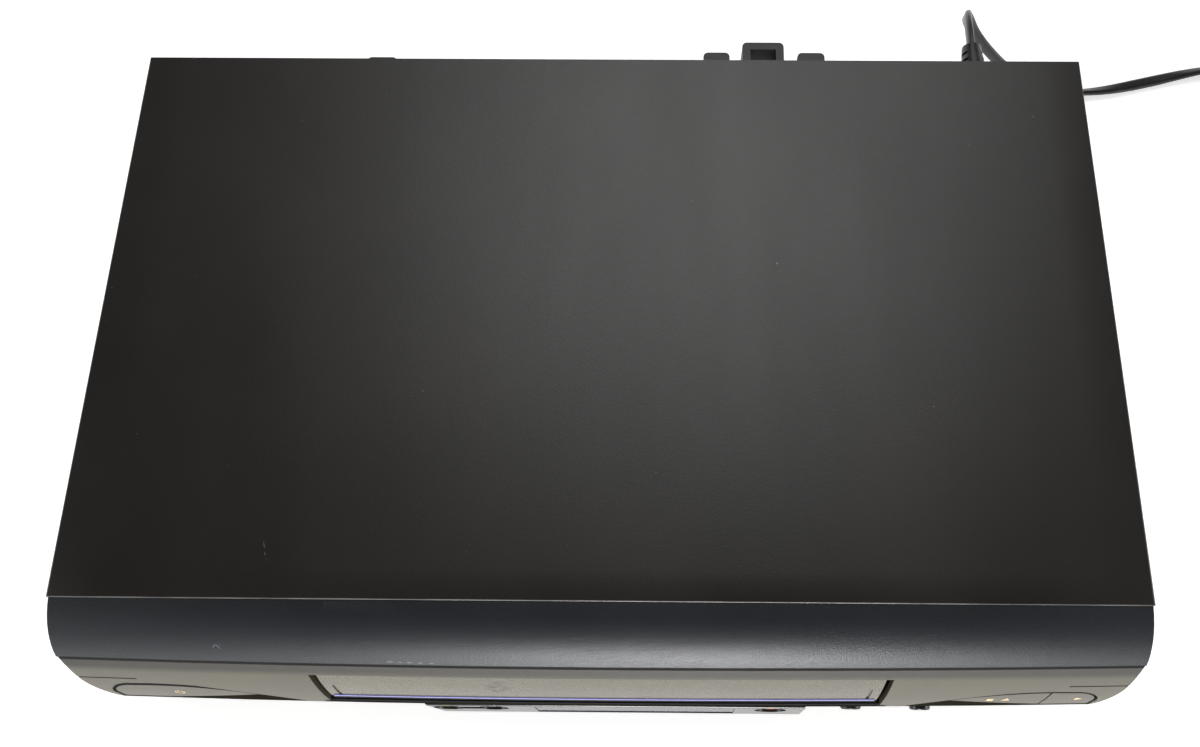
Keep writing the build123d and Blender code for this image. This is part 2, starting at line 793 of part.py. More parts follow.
with BuildPart() as key_surrounds:
    add(core_form)
    add(core_back_form, mode=Mode.SUBTRACT)
    with BuildSketch(front_plane):
        for side in (-1, 1):
            add(leaf_sketch(side, -surround_lap))
            add(key_sketch(side, key_slot / 2), mode=Mode.SUBTRACT)
    extrude(amount=console_reach, mode=Mode.INTERSECT)
key_surrounds.part.label = "key_surrounds"
export_step(key_surrounds.part, "parts/key_surrounds.step")


def side_key(side, switch_x, span):
    """Key that fills the part of one leaf between two distances from the middle."""
    with BuildPart() as key:
        add(key_form)
        add(key_back_form, mode=Mode.SUBTRACT)
        with BuildSketch(front_plane):
            add(key_sketch(side))
        extrude(amount=console_reach, mode=Mode.INTERSECT)
        low, high = sorted((side * span[0], side * span[1]))
        slab((low, high), (front_limit, front_y), (0, height), Mode.INTERSECT)
        with BuildPart(mode=Mode.PRIVATE) as stem:
            x = side * switch_x
            slab((x - stem_half, x + stem_half), (front_limit, stem_y), (key_z - stem_half, key_z + stem_half))
            add(key_back_form, mode=Mode.INTERSECT)
        add(stem.part)
    return key.part


power_key = side_key(-1, power_switch_x, (0, width))
power_key.label = "power_key"
export_step(power_key, "parts/power_key.step")

stop_eject_key = side_key(1, stop_switch_x, (0, key_split_x - key_play))
stop_eject_key.label = "stop_eject_key"
export_step(stop_eject_key, "parts/stop_eject_key.step")

play_key = side_key(1, play_switch_x, (key_split_x + key_play, width))
play_key.label = "play_key"
export_step(play_key, "parts/play_key.step")

round_keys = (
    ("record_button", record_x, console_face + jack_recess - record_proud),
    ("rewind_button", round_key_x[0], front_y - lower_reach - round_key_proud),
    ("fast_forward_button", round_key_x[1], front_y - lower_reach - round_key_proud),
)
for name, x, front in round_keys:
    with BuildPart() as button:
        flange_y = front_y - lower_reach + wall + key_flange_room
        rod_y(x, control_z, round_key_radius, front, flange_y)
        fillet(button.edges().group_by(Axis.Y)[0], radius=button_edge)
        rod_y(x, control_z, round_key_radius + key_flange, flange_y, flange_y + plate)
        rod_y(x, control_z, stem_half, flange_y, stem_y)
    button.part.label = name
    export_step(button.part, f"parts/{name}.step")

with BuildPart() as front_board:
    with BuildSketch(Plane.XZ.offset(-board_y - board_thick)):
        with BuildLine():
            Polyline(
                (-board_end, console_low),
                (board_end, console_low),
                (board_end, board_wing_top),
                (board_wing_x, board_wing_top),
                (board_wing_x, board_top),
                (-board_wing_x, board_top),
                (-board_wing_x, board_wing_top),
                (-board_end, board_wing_top),
                close=True,
            )
        make_face()
    extrude(amount=board_thick)
front_board.part.label = "front_board"
export_step(front_board.part, "parts/front_board.step")

with BuildPart() as tact_switches:
    places = [(-power_switch_x, key_z), (stop_switch_x, key_z), (play_switch_x, key_z)]
    places += [(x, control_z) for x in (record_x, *round_key_x)]
    for x, z in places:
        half = switch_body / 2
        slab((x - half, x + half), (board_y - switch_depth, board_y), (z - half, z + half))
        rod_y(x, z, plunger_radius, board_y - switch_depth - plunger_depth, board_y - switch_depth)
tact_switches.part.label = "tact_switches"
export_step(tact_switches.part, "parts/tact_switches.step")

with BuildPart() as front_jacks:
    for x in jack_x:
        rod_y(x, control_z, jack_radius, console_face + jack_recess - jack_proud, board_y)
        mouth = console_face + jack_recess - jack_proud
        rod_y(x, control_z, jack_hole_radius, mouth, mouth + jack_depth, Mode.SUBTRACT)
front_jacks.part.label = "front_jacks"
export_step(front_jacks.part, "parts/front_jacks.step")

# ---------------------------------------------------------------- cassette door
with BuildPart() as sweep_room:
    rod_x(door_pivot_y, door_pivot_z, door_sweep + play, -opening_half, opening_half)

with BuildPart() as door_surround:
    slab((-opening_half + play, opening_half - play), (front_limit, door_pivot_y), (split_z, slot_z))
    add(door_form, mode=Mode.INTERSECT)
    with BuildPart(mode=Mode.PRIVATE) as inner:
        slab((-cheek_out, cheek_out), (front_limit, door_pivot_y), (split_z, slot_z))
        for side in (-1, 1):
            edge = sorted((side * cheek_in, side * cheek_out))
            slab(edge, (front_limit, door_pivot_y + cheek_tail), (split_z, door_pivot_z + cheek_tail))
        add(core_form, mode=Mode.INTERSECT)
    add(inner.part)
    add(sweep_room.part, mode=Mode.SUBTRACT)
    rod_x(door_pivot_y, door_pivot_z, door_pin_radius + fit, -cheek_out, cheek_out, Mode.SUBTRACT)
door_surround.part.label = "door_surround"
export_step(door_surround.part, "parts/door_surround.step")

mark_form = front_form(door_inset + mark_depth, shell_rear)

with BuildPart() as cassette_door:
    add(door_form)
    add(door_back_form, mode=Mode.SUBTRACT)
    slab((-door_half, door_half), (front_limit, front_y), (door_bottom, door_top), Mode.INTERSECT)
    for side in (-1, 1):
        with BuildPart(mode=Mode.PRIVATE) as mark:
            x = side * mark_x
            slab((x - mark_width / 2, x + mark_width / 2), (front_limit, front_y), (mark_low, mark_high))
            add(mark_form, mode=Mode.SUBTRACT)
        add(mark.part, mode=Mode.SUBTRACT)
        x = side * door_half if side < 0 else door_half - ear_width
        with BuildSketch(Plane.YZ.offset(x)):
            clear = door_pivot_inset - door_barrel_radius + fit
            back = door_pivot_inset + door_barrel_radius - fit
            low = door_top - ear_drop
            with BuildLine():
                Polyline(
                    (face_y(low, door_inset + door_bow + door_wall / 2), low),
                    (face_y(door_top - play, clear), door_top - play),
                    (face_y(door_pivot_z, clear), door_pivot_z),
                    (face_y(door_pivot_z, back), door_pivot_z),
                    (face_y(low, door_inset + door_bow + door_wall + ear_width / 2), low),
                    close=True,
                )
            make_face()
            with Locations((door_pivot_y, door_pivot_z)):
                Circle(door_barrel_radius)
        extrude(amount=ear_width)
        span = sorted((side * (door_half - ear_width), side * (cheek_out - play)))
        rod_x(door_pivot_y, door_pivot_z, door_pin_radius, *span)
cassette_door.part.label = "cassette_door"
export_step(cassette_door.part, "parts/cassette_door.step")

trim_z = (door_bottom + trim_rise, door_bottom + trim_rise + trim_height)
with BuildPart() as door_trim:
    add(trim_form)
    add(door_form, mode=Mode.SUBTRACT)
    slab((1 - door_half, door_half - 1), (front_limit, front_y), trim_z, Mode.INTERSECT)
door_trim.part.label = "door_trim"
export_step(door_trim.part, "parts/door_trim.step")

# ---------------------------------------------------------------- boards and sockets
with BuildPart() as main_board:
    with BuildSketch(Plane.XY.offset(board_z)):
        with BuildLine():
            Polyline(
                (board_left, board_front),
                (-chassis_half - board_gap, board_front),
                (-chassis_half - board_gap, chassis_back + board_gap),
                (power_left - board_gap, chassis_back + board_gap),
                (power_left - board_gap, board_back),
                (board_left, board_back),
                close=True,
            )
        make_face()
    extrude(amount=board_thick)
    chip_z = board_z + board_thick
    for inset, y, wide, long in chips:
        x = inset - width / 2
        slab((x - wide / 2, x + wide / 2), (y - long / 2, y + long / 2), (chip_z, chip_z + chip_height))
main_board.part.label = "main_board"
export_step(main_board.part, "parts/main_board.step")

with BuildPart() as tuner_module:
    tuner_x = (aerial_x - tuner_half, aerial_x + tuner_half)
    slab(tuner_x, (rear_y - tuner_length, rear_y), (board_z + board_thick, tuner_top))
    for z in aerial_z:
        rod_y(aerial_x, z, aerial_radius + socket_collar, rear_y, back_y)
        rod_y(aerial_x, z, aerial_radius, back_y, back_y + aerial_length)
        rod_y(aerial_x, z, aerial_hole_radius, back_y, back_y + aerial_length, Mode.SUBTRACT)
tuner_module.part.label = "tuner_module"
export_step(tuner_module.part, "parts/tuner_module.step")

with BuildPart() as rear_av_jacks:
    low_x = av_x[0] - av_margin
    high_x = av_x[1] + av_margin
    slab((low_x, high_x), (rear_y - av_depth, rear_y), (board_z + board_thick, av_z[1] + av_margin))
    for x in av_x:
        for z in av_z:
            rod_y(x, z, jack_radius + socket_collar, rear_y, back_y)
            rod_y(x, z, jack_radius, back_y, back_y + jack_length)
            rod_y(x, z, jack_hole_radius, back_y, back_y + jack_length, Mode.SUBTRACT)
rear_av_jacks.part.label = "rear_av_jacks"
export_step(rear_av_jacks.part, "parts/rear_av_jacks.step")

with BuildPart() as power_supply:
    slab((power_left, tray_half - board_margin), (drum_y - power_ahead, board_back), (board_z, board_z + board_thick))
    top = board_z + board_thick
    for inset, y, radius, tall in capacitors:
        post(width / 2 - inset, drum_y + y, radius, top, top + tall)
    sink_y = drum_y + sink_from_drum
    slab((sink_x, sink_x + sink_length), (sink_y, sink_y + sink_wall), (top, top + sink_height))
    for row in range(sink_fins):
        x = sink_x + row * (sink_length - sink_wall) / (sink_fins - 1)
        slab((x, x + sink_wall), (sink_y - sink_fin_depth, sink_y), (top, top + sink_height))
power_supply.part.label = "power_supply"
export_step(power_supply.part, "parts/power_supply.step")

with BuildPart() as transformer:
    half = transformer_side / 2
    y = drum_y + transformer_from_drum
    core = top + transformer_height
    slab((transformer_x - half, transformer_x + half), (y - half, y + half), (top, top + bobbin_flange))
    slab((transformer_x - half, transformer_x + half), (y - half / 2, y + half / 2), (top, core))
    post(transformer_x, y, half * bobbin_ratio, top, core - bobbin_flange)
transformer.part.label = "transformer"
export_step(transformer.part, "parts/transformer.step")

# ---------------------------------------------------------------- cassette carrier
pin_z = cassette_z + carrier_pin_height
slide_pin_z = carrier_top_z + slide_pin_height
pin_y = (carrier_front + pin_inset, carrier_back - pin_inset)
carrier_out = carrier_half + carrier_sheet

with BuildPart() as cassette_carrier:
    depth = (carrier_front, carrier_back)
    slab((-carrier_out, carrier_out), depth, (cassette_z - carrier_sheet, carrier_top_z + carrier_sheet))
    slab((-carrier_half, carrier_half), depth, (cassette_z, carrier_top_z), Mode.SUBTRACT)
    slab((ledge - carrier_half, carrier_half - ledge), depth, (cassette_z - carrier_sheet, cassette_z),
         Mode.SUBTRACT)
    for x in (-carrier_half / 2, carrier_half / 2):
        with BuildSketch(Plane.XY.offset(carrier_top_z)):
            with Locations((x, (carrier_front + carrier_back) / 2)):
                SlotOverall(carrier_window_length, carrier_window_width)
        extrude(amount=carrier_sheet, mode=Mode.SUBTRACT)
    for side in (-1, 1):
        stop = sorted((side * (carrier_half - stop_width), side * carrier_out))
        slab(stop, (carrier_back, carrier_back + carrier_sheet), (cassette_z - carrier_sheet, pin_z))
        for y in pin_y:
            span = sorted((side * carrier_out, side * (slide_inner + carrier_sheet + play)))
            rod_x(y, pin_z, guide_pin_radius, *span)
cassette_carrier.part.label = "cassette_carrier"
export_step(cassette_carrier.part, "parts/cassette_carrier.step")

with BuildPart() as slide_frame:
    slot = guide_pin_radius + fit
    for side in (-1, 1):
        plate_x = sorted((side * slide_inner, side * (slide_inner + carrier_sheet)))
        slab(plate_x, (carrier_front, carrier_back), (cassette_z - carrier_sheet, frame_top_z - carrier_sheet))
        for y in pin_y:
            slab(plate_x, (y - slot, y + slot), (pin_z - carrier_drop, pin_z), Mode.SUBTRACT)
            for z in (pin_z - carrier_drop, pin_z):
                rod_x(y, z, slot, *plate_x, Mode.SUBTRACT)
            outer = sorted((side * (slide_inner + carrier_sheet), side * (frame_inner + carrier_sheet + play)))
            rod_x(y, slide_pin_z, guide_pin_radius, *outer)
    rod_x(carrier_back - pin_inset / 2, slide_pin_z, sync_bar_radius, -slide_inner, slide_inner)
slide_frame.part.label = "slide_frame"
export_step(slide_frame.part, "parts/slide_frame.step")

with BuildPart() as side_frames:
    frame_y = (carrier_front, loaded_back + frame_margin)
    for side in (-1, 1):
        frame_x = sorted((side * frame_inner, side * (frame_inner + carrier_sheet)))
        slab(frame_x, frame_y, (deck_z, frame_top_z))
        foot_x = sorted((side * frame_inner, side * (frame_inner + frame_foot)))
        slab(foot_x, frame_y, (deck_z, deck_z + carrier_sheet))
        slab(frame_x, (pin_y[0], pin_y[1] + carrier_travel),
             (slide_pin_z - guide_pin_radius - fit, slide_pin_z + guide_pin_radius + fit), Mode.SUBTRACT)
        for y in (pin_y[0], pin_y[1] + carrier_travel):
            rod_x(y, slide_pin_z, guide_pin_radius + fit, *frame_x, Mode.SUBTRACT)
        window = (frame_y[0] + frame_margin * 3, frame_y[1] - frame_margin * 3)
        slab(frame_x, window, (deck_z + frame_margin * 2, cassette_z + frame_margin), Mode.SUBTRACT)
side_frames.part.label = "side_frames"
export_step(side_frames.part, "parts/side_frames.step")

# ---------------------------------------------------------------- chassis
drum_plane = Plane(
    origin=(0, drum_y, drum_split_z),
    x_dir=(cos(radians(drum_tilt)), 0, -sin(radians(drum_tilt))),
    z_dir=(sin(radians(drum_tilt)), 0, cos(radians(drum_tilt))),
)
guide_orbit = hypot(guide_x, guide_from_drum)
guide_angle = degrees(atan(guide_from_drum / guide_x))
arm_z = deck_z + arm_lift
pinch_pivot = (pinch_pivot_x, drum_y - pinch_pivot_from_drum)
engaged = (capstan_x, capstan_y + capstan_radius + pinch_radius + play)
pinch_arm_length = hypot(engaged[0] - pinch_pivot[0], engaged[1] - pinch_pivot[1])
pinch_angle = 180 + degrees(atan((pinch_pivot[1] - engaged[1]) / (pinch_pivot[0] - engaged[0]))) - pinch_swing
roller = (
    pinch_pivot[0] + pinch_arm_length * cos(radians(pinch_angle)),
    pinch_pivot[1] + pinch_arm_length * sin(radians(pinch_angle)),
)
cam_place = (cam_x, drum_y + cam_from_drum)
motor_place = (motor_x, drum_y + motor_from_drum)
tension_pivot = (tension_x, loaded_back - tension_ahead)
tape_top_z = drum_top_z - 2.0

with BuildPart() as mechanism_chassis:
    slab((-chassis_half, chassis_half), (chassis_front, chassis_back), (chassis_z, deck_z))
    post(0, drum_y, chassis_hole_radius, chassis_z, deck_z, Mode.SUBTRACT)
    with BuildSketch(Plane.XY.offset(chassis_z)):
        for side in (-1, 1):
            start = -guide_angle if side > 0 else 180 + guide_angle
            track = CenterArc((0, drum_y), guide_orbit, start, side * guide_swing, mode=Mode.PRIVATE)
            SlotArc(track, 2 * (post_radius + fit))
    extrude(amount=plate, mode=Mode.SUBTRACT)
    bearing = (chassis_z - stator_stack, deck_z + bearing_height)
    post(capstan_x, capstan_y, capstan_bearing_radius, *bearing)
    post(capstan_x, capstan_y, capstan_radius + fit, *bearing, Mode.SUBTRACT)
    post(0, idler_pivot_y, post_radius + fit, chassis_z, deck_z, Mode.SUBTRACT)
    for side in (-1, 1):
        post(side * reel_x, reel_y, post_radius * 2, deck_z, reel_z - play)
        post(side * reel_x, reel_y, post_radius, deck_z, reel_z + reel_hub_height + play)
    post(*pinch_pivot, pillar_radius, deck_z, arm_z - play)
    post(*pinch_pivot, guide_post_radius, deck_z, arm_z + arm_thick + play)
    post(*cam_place, post_radius, deck_z, deck_z + play + cam_thick + play)
    post(*tension_pivot, post_radius, deck_z, deck_z + play + plate + play)
mechanism_chassis.part.label = "mechanism_chassis"
export_step(mechanism_chassis.part, "parts/mechanism_chassis.step")

# ---------------------------------------------------------------- head drum
with BuildPart() as lower_drum:
    with BuildSketch(drum_plane):
        Circle(drum_radius)
    extrude(amount=-2 * (drum_split_z - deck_z))
    split(bisect_by=Plane.XY.offset(deck_z), keep=Keep.TOP)
    with BuildSketch(drum_plane):
        Circle(drum_boss_radius)
    extrude(amount=-stator_drop - stator_thick)
    with BuildSketch(drum_plane):
        Circle(drum_shaft_radius + fit)
    extrude(amount=-stator_drop - stator_thick, mode=Mode.SUBTRACT)
lower_drum.part.label = "lower_drum"
export_step(lower_drum.part, "parts/lower_drum.step")

with BuildPart() as drum_stator:
    with BuildSketch(drum_plane.offset(-stator_drop)):
        Circle(drum_rotor_radius + 1)
        Circle(drum_boss_radius, mode=Mode.SUBTRACT)
    extrude(amount=-stator_thick)
drum_stator.part.label = "drum_stator"
export_step(drum_stator.part, "parts/drum_stator.step")

rotor_drop = stator_drop + stator_thick + play
drum_tall = drum_top_z - drum_split_z

with BuildPart() as drum_rotor:
    with BuildSketch(drum_plane.offset(-rotor_drop)):
        Circle(drum_rotor_radius)
    extrude(amount=-drum_rotor_thick)
    with BuildSketch(drum_plane.offset(-rotor_drop - drum_rotor_thick)):
        Circle(drum_shaft_radius)
    extrude(amount=rotor_drop + drum_rotor_thick + drum_tall + play)
drum_rotor.part.label = "drum_rotor"
export_step(drum_rotor.part, "parts/drum_rotor.step")

with BuildPart() as upper_drum:
    with BuildSketch(drum_plane.offset(play)):
        Circle(drum_radius)
    extrude(amount=drum_tall - play)
    with BuildSketch(drum_plane.offset(drum_tall - drum_dish)):
        Circle(drum_radius - drum_dish)
        Circle(drum_boss_radius, mode=Mode.SUBTRACT)
    extrude(amount=drum_dish, mode=Mode.SUBTRACT)
    with BuildSketch(drum_plane):
        Circle(drum_shaft_radius)
    extrude(amount=drum_tall, mode=Mode.SUBTRACT)
    with BuildSketch(drum_plane.offset(play)):
        with PolarLocations(drum_radius, head_count, start_angle=head_start):
            Rectangle(head_window, head_window)
    extrude(amount=head_window, mode=Mode.SUBTRACT)
upper_drum.part.label = "upper_drum"
export_step(upper_drum.part, "parts/upper_drum.step")

# ---------------------------------------------------------------- capstan and clutch
with BuildPart() as capstan_stator:
    half = capstan_rotor_radius + 1
    post(capstan_x, capstan_y, half, chassis_z - plate, chassis_z)
    post(capstan_x, capstan_y, capstan_rotor_radius - coil_margin, chassis_z - stator_stack, chassis_z)
    post(capstan_x, capstan_y, capstan_bearing_radius, chassis_z - stator_stack, chassis_z, Mode.SUBTRACT)
capstan_stator.part.label = "capstan_stator"
export_step(capstan_stator.part, "parts/capstan_stator.step")

with BuildPart() as capstan_rotor:
    post(capstan_x, capstan_y, capstan_rotor_radius, rotor_low, rotor_low + rotor_thick)
    post(capstan_x, capstan_y, capstan_radius, rotor_low, tape_top_z)
capstan_rotor.part.label = "capstan_rotor"
export_step(capstan_rotor.part, "parts/capstan_rotor.step")

with BuildPart() as clutch_pulley:
    post(0, idler_pivot_y, clutch_radius, rotor_low, rotor_low + rotor_thick)
    post(0, idler_pivot_y, post_radius, rotor_low, deck_z + play + plate + play)
clutch_pulley.part.label = "clutch_pulley"
export_step(clutch_pulley.part, "parts/clutch_pulley.step")


def belt(first, first_radius, second, second_radius, low):
    """Flat belt round two pulleys."""
    with BuildPart() as loop:
        for grow, mode in ((belt_thick + play, Mode.ADD), (play, Mode.SUBTRACT)):
            with BuildSketch(Plane.XY.offset(low)):
                with Locations(first):
                    Circle(first_radius + grow)
                with Locations(second):
                    Circle(second_radius + grow)
                make_hull()
            extrude(amount=belt_height, mode=mode)
    return loop.part


drive_belt = belt((capstan_x, capstan_y), capstan_rotor_radius, (0, idler_pivot_y), clutch_radius, belt_z)
drive_belt.label = "drive_belt"
export_step(drive_belt, "parts/drive_belt.step")

loading_belt = belt(cam_place, cam_radius, motor_place, motor_pulley_radius,
                    deck_z + play + (cam_thick - belt_height) / 2)
loading_belt.label = "loading_belt"
export_step(loading_belt, "parts/loading_belt.step")

# ---------------------------------------------------------------- reels and idler
idler_z = deck_z + play
wheel_z = idler_z + plate + play
wheel_y = idler_pivot_y - idler_arm_length

with BuildPart() as idler_arm:
    with BuildSketch(Plane.XY.offset(idler_z)):
        with Locations((0, idler_pivot_y)):
            Circle(arm_end_radius)
        with Locations((0, wheel_y)):
            Circle(arm_end_radius)
        make_hull()
    extrude(amount=plate)
    post(0, idler_pivot_y, post_radius + fit, idler_z, idler_z + plate, Mode.SUBTRACT)
    post(0, wheel_y, post_radius, idler_z, wheel_z + reel_rim_thick + play)
idler_arm.part.label = "idler_arm"
export_step(idler_arm.part, "parts/idler_arm.step")

with BuildPart() as idler_wheel:
    post(0, wheel_y, idler_radius, wheel_z, wheel_z + reel_rim_thick)
    post(0, wheel_y, post_radius + fit, wheel_z, wheel_z + reel_rim_thick, Mode.SUBTRACT)
idler_wheel.part.label = "idler_wheel"
export_step(idler_wheel.part, "parts/idler_wheel.step")

for name, x in (("supply_reel", -reel_x), ("take_up_reel", reel_x)):
    with BuildPart() as reel:
        post(x, reel_y, reel_rim_radius, reel_z, reel_z + reel_rim_thick)
        post(x, reel_y, reel_hub_radius, reel_z, reel_z + reel_hub_height)
        for turn in range(reel_splines):
            angle = radians(90 + turn * 360 / reel_splines)
            spline_x = x + reel_hub_radius * cos(angle)
            spline_y = reel_y + reel_hub_radius * sin(angle)
            post(spline_x, spline_y, spline_radius, reel_z + reel_rim_thick, reel_z + reel_hub_height - 1)
        post(x, reel_y, post_radius + fit, reel_z, reel_z + reel_hub_height, Mode.SUBTRACT)
    reel.part.label = name
    export_step(reel.part, f"parts/{name}.step")

# ---------------------------------------------------------------- tape guides, heads and arms
for name, x in (("supply_guide", -guide_x), ("take_up_guide", guide_x)):
    with BuildPart() as guide:
        y = drum_y - guide_from_drum
        post(x, y, guide_boat_radius, deck_z + play, deck_z + play + boat_thick)
        post(x, y, post_radius, chassis_z, deck_z + play)
        post(x, y, guide_post_radius, deck_z + play, tape_top_z)
        post(x, y, guide_post_radius + 1, tape_top_z - plate, tape_top_z)
    guide.part.label = name
    export_step(guide.part, f"parts/{name}.step")

with BuildPart() as pinch_arm:
    with BuildSketch(Plane.XY.offset(arm_z)):
        with Locations(pinch_pivot):
            Circle(arm_end_radius + 1)
        with Locations(roller):
            Circle(arm_end_radius)
        make_hull()
    extrude(amount=arm_thick)
    post(*pinch_pivot, guide_post_radius + fit, arm_z, arm_z + arm_thick, Mode.SUBTRACT)
    post(*roller, post_radius, arm_z, arm_z + arm_thick + 2 * play + roller_height + play)
pinch_arm.part.label = "pinch_arm"
export_step(pinch_arm.part, "parts/pinch_arm.step")

with BuildPart() as pinch_roller:
    low = arm_z + arm_thick + play
    post(*roller, pinch_radius, low, low + roller_height)
    post(*roller, post_radius + fit, low, low + roller_height, Mode.SUBTRACT)
pinch_roller.part.label = "pinch_roller"
export_step(pinch_roller.part, "parts/pinch_roller.step")

with BuildPart() as tension_arm:
    pin = (tension_pivot[0] + tension_pin_x, tension_pivot[1] + tension_pin_y)
    with BuildSketch(Plane.XY.offset(deck_z + play)):
        with Locations(tension_pivot, pin):
            Circle(arm_end_radius)
        make_hull()
    extrude(amount=plate)
    post(*tension_pivot, post_radius + fit, deck_z + play, deck_z + play + plate, Mode.SUBTRACT)
    post(*pin, post_radius, deck_z + play, tape_top_z)
tension_arm.part.label = "tension_arm"
export_step(tension_arm.part, "parts/tension_arm.step")

with BuildPart() as full_erase_head:
    y = drum_y - erase_from_drum
    post(-erase_x, y, guide_post_radius, deck_z, head_low_z)
    slab((-erase_x - head_half, -erase_x + head_half), (y - head_half, y + head_half), (head_low_z, tape_top_z))
full_erase_head.part.label = "full_erase_head"
export_step(full_erase_head.part, "parts/full_erase_head.step")

with BuildPart() as audio_control_head:
    y = drum_y - audio_from_drum
    post(audio_x, y, guide_post_radius, deck_z, head_low_z)
    slab((audio_x - head_half, audio_x + head_half), (y - head_half, y + head_half), (head_low_z, tape_top_z))
audio_control_head.part.label = "audio_control_head"
export_step(audio_control_head.part, "parts/audio_control_head.step")

with BuildPart() as cam_gear:
    low = deck_z + play
    post(*cam_place, cam_radius, low, low + cam_thick)
    with BuildSketch(Plane.XY.offset(low + cam_thick - cam_groove)):
        with Locations((cam_place[0] + cam_offset, cam_place[1])):
            Circle(cam_radius - cam_offset - cam_groove)
            Circle(cam_radius - cam_offset - 3 * cam_groove, mode=Mode.SUBTRACT)
    extrude(amount=cam_groove, mode=Mode.SUBTRACT)
    post(*cam_place, post_radius + fit, low, low + cam_thick, Mode.SUBTRACT)
cam_gear.part.label = "cam_gear"
export_step(cam_gear.part, "parts/cam_gear.step")

with BuildPart() as motor_pulley:
    post(*motor_place, motor_pulley_radius, deck_z + play, deck_z + play + cam_thick)
    post(*motor_place, motor_shaft_radius, deck_z + play, arm_z + motor_bore)
motor_pulley.part.label = "motor_pulley"
export_step(motor_pulley.part, "parts/motor_pulley.step")

with BuildPart() as loading_motor:
    post(*motor_place, motor_radius, arm_z, arm_z + motor_height)
    post(*motor_place, motor_shaft_radius + fit, arm_z, arm_z + motor_bore, Mode.SUBTRACT)
    for dy in (-motor_leg, motor_leg):
        post(motor_place[0] + motor_leg, motor_place[1] + dy, motor_leg_radius, deck_z, arm_z + plate)
loading_motor.part.label = "loading_motor"
export_step(loading_motor.part, "parts/loading_motor.step")

# ---------------------------------------------------------------- mains cord
relief_out = back_y - cover_sheet
relief_tip = back_y + relief_length

with BuildPart() as cord_strain_relief:
    with BuildSketch(Plane.XY.offset(relief_z)):
        with BuildLine():
            Polyline(
                (relief_x, rear_y - relief_head),
                (relief_x + relief_root_radius, rear_y - relief_head),
                (relief_x + relief_root_radius, rear_y),
                (relief_x + relief_neck_radius, rear_y),
                (relief_x + relief_neck_radius, relief_out),
                (relief_x + relief_root_radius, relief_out),
                (relief_x + relief_tip_radius, relief_tip),
                (relief_x, relief_tip),
                close=True,
            )
        make_face()
    revolve(axis=Axis((relief_x, 0, relief_z), (0, 1, 0)))
    pitch = (relief_tip - relief_out) / (relief_ribs + 1)
    for rib in range(relief_ribs):
        y = relief_out + (rib + rib_start) * pitch
        low = (y, y + pitch * rib_slot)
        for side in (-1, 1):
            span = sorted((relief_x + side * cord_radius, relief_x + side * 2 * relief_root_radius))
            slab(span, low, (relief_z - relief_root_radius, relief_z + relief_root_radius), Mode.SUBTRACT)
cord_strain_relief.part.label = "cord_strain_relief"
export_step(cord_strain_relief.part, "parts/cord_strain_relief.step")

coil_y = coil_reach_y - coil_radius - coil_outer_turn
cord_route = [
    Vector(relief_x, relief_tip, relief_z),
    Vector(relief_x, relief_tip + 10.0, relief_z),
    Vector(154.8, 159.1, 63.3),
    Vector(158.0, 165.2, 54.1),
    Vector(165.5, 165.8, 40.0),
    Vector(183.0, 161.5, 22.0),
    Vector(201.0, 158.4, 9.3),
    Vector(220.5, 157.4, 3.2),
    Vector(240.0, 159.0, 2.9),
    Vector(262.0, 163.8, 2.9),
    Vector(290.0, 171.0, 2.9),
    Vector(314.0, 174.0, 3.2),
    Vector(coil_x - coil_lead, coil_reach_y, 4.0),
]


def corner_radii(route):
    """Largest round arc for each corner of a cord's route."""
    radii = []
    for before, corner, after in zip(route, route[1:], route[2:]):
        turn = radians((corner - before).get_angle(after - corner))
        shorter = min((corner - before).length, (after - corner).length)
        radii.append(0.45 * shorter / tan(turn / 2))
    return radii


cord_radii = corner_radii(cord_route)
cord_path = FilletPolyline(*cord_route, radius=cord_radii)
with BuildPart() as mains_cord:
    with BuildSketch(Plane(origin=cord_path @ 0, z_dir=cord_path % 0)):
        Circle(cord_radius)
    sweep(path=cord_path)
mains_cord.part.label = "mains_cord"
export_step(mains_cord.part, "parts/mains_cord.step")
print("cord arcs, mm:", [round(radius, 1) for radius in cord_radii])
print("cord run, mm:", round(cord_path.length, 1))
print("cord volume over section x length:", mains_cord.part.volume / (pi * cord_radius**2 * cord_path.length))

with BuildPart() as mains_cord_coil:
    with BuildSketch(Plane.XZ.offset(-coil_y)):
        with Locations((coil_x + coil_radius, coil_bundle)):
            Circle(coil_bundle)
    revolve(axis=Axis((coil_x, coil_y, 0), (0, 0, 1)))
mains_cord_coil.part.label = "mains_cord_coil"
export_step(mains_cord_coil.part, "parts/mains_cord_coil.step")

plug_x = coil_x + coil_radius - plug_from_turn
plug_z = plug_half_height

with BuildPart() as mains_plug:
    plug_y = coil_y - coil_radius + plug_in_coil
    plug_back = plug_y - plug_tail
    low = plug_z - plug_half_height
    with BuildSketch(Plane.XZ.offset(-plug_y)):
        with Locations((plug_x, plug_z)):
            Circle(cord_radius + plug_tail_rim)
    with BuildSketch(Plane.XZ.offset(-plug_back)):
        with Locations((plug_x, plug_z)):
            Rectangle(2 * (plug_half_width - plug_neck_side), 2 * (plug_half_height - plug_neck_top))
    loft()
    slab((plug_x - plug_half_width, plug_x + plug_half_width), (plug_back - plug_length, plug_back),
         (low, low + 2 * plug_half_height))
    fillet(mains_plug.edges().filter_by(Axis.Y), radius=plug_edge)
    for side in (-1, 1):
        x = plug_x + side * blade_half_gap
        slab((x - blade_thick / 2, x + blade_thick / 2),
             (plug_back - plug_length - blade_length, plug_back - plug_length),
             (plug_z - blade_half_width, plug_z + blade_half_width))
mains_plug.part.label = "mains_plug"
export_step(mains_plug.part, "parts/mains_plug.step")
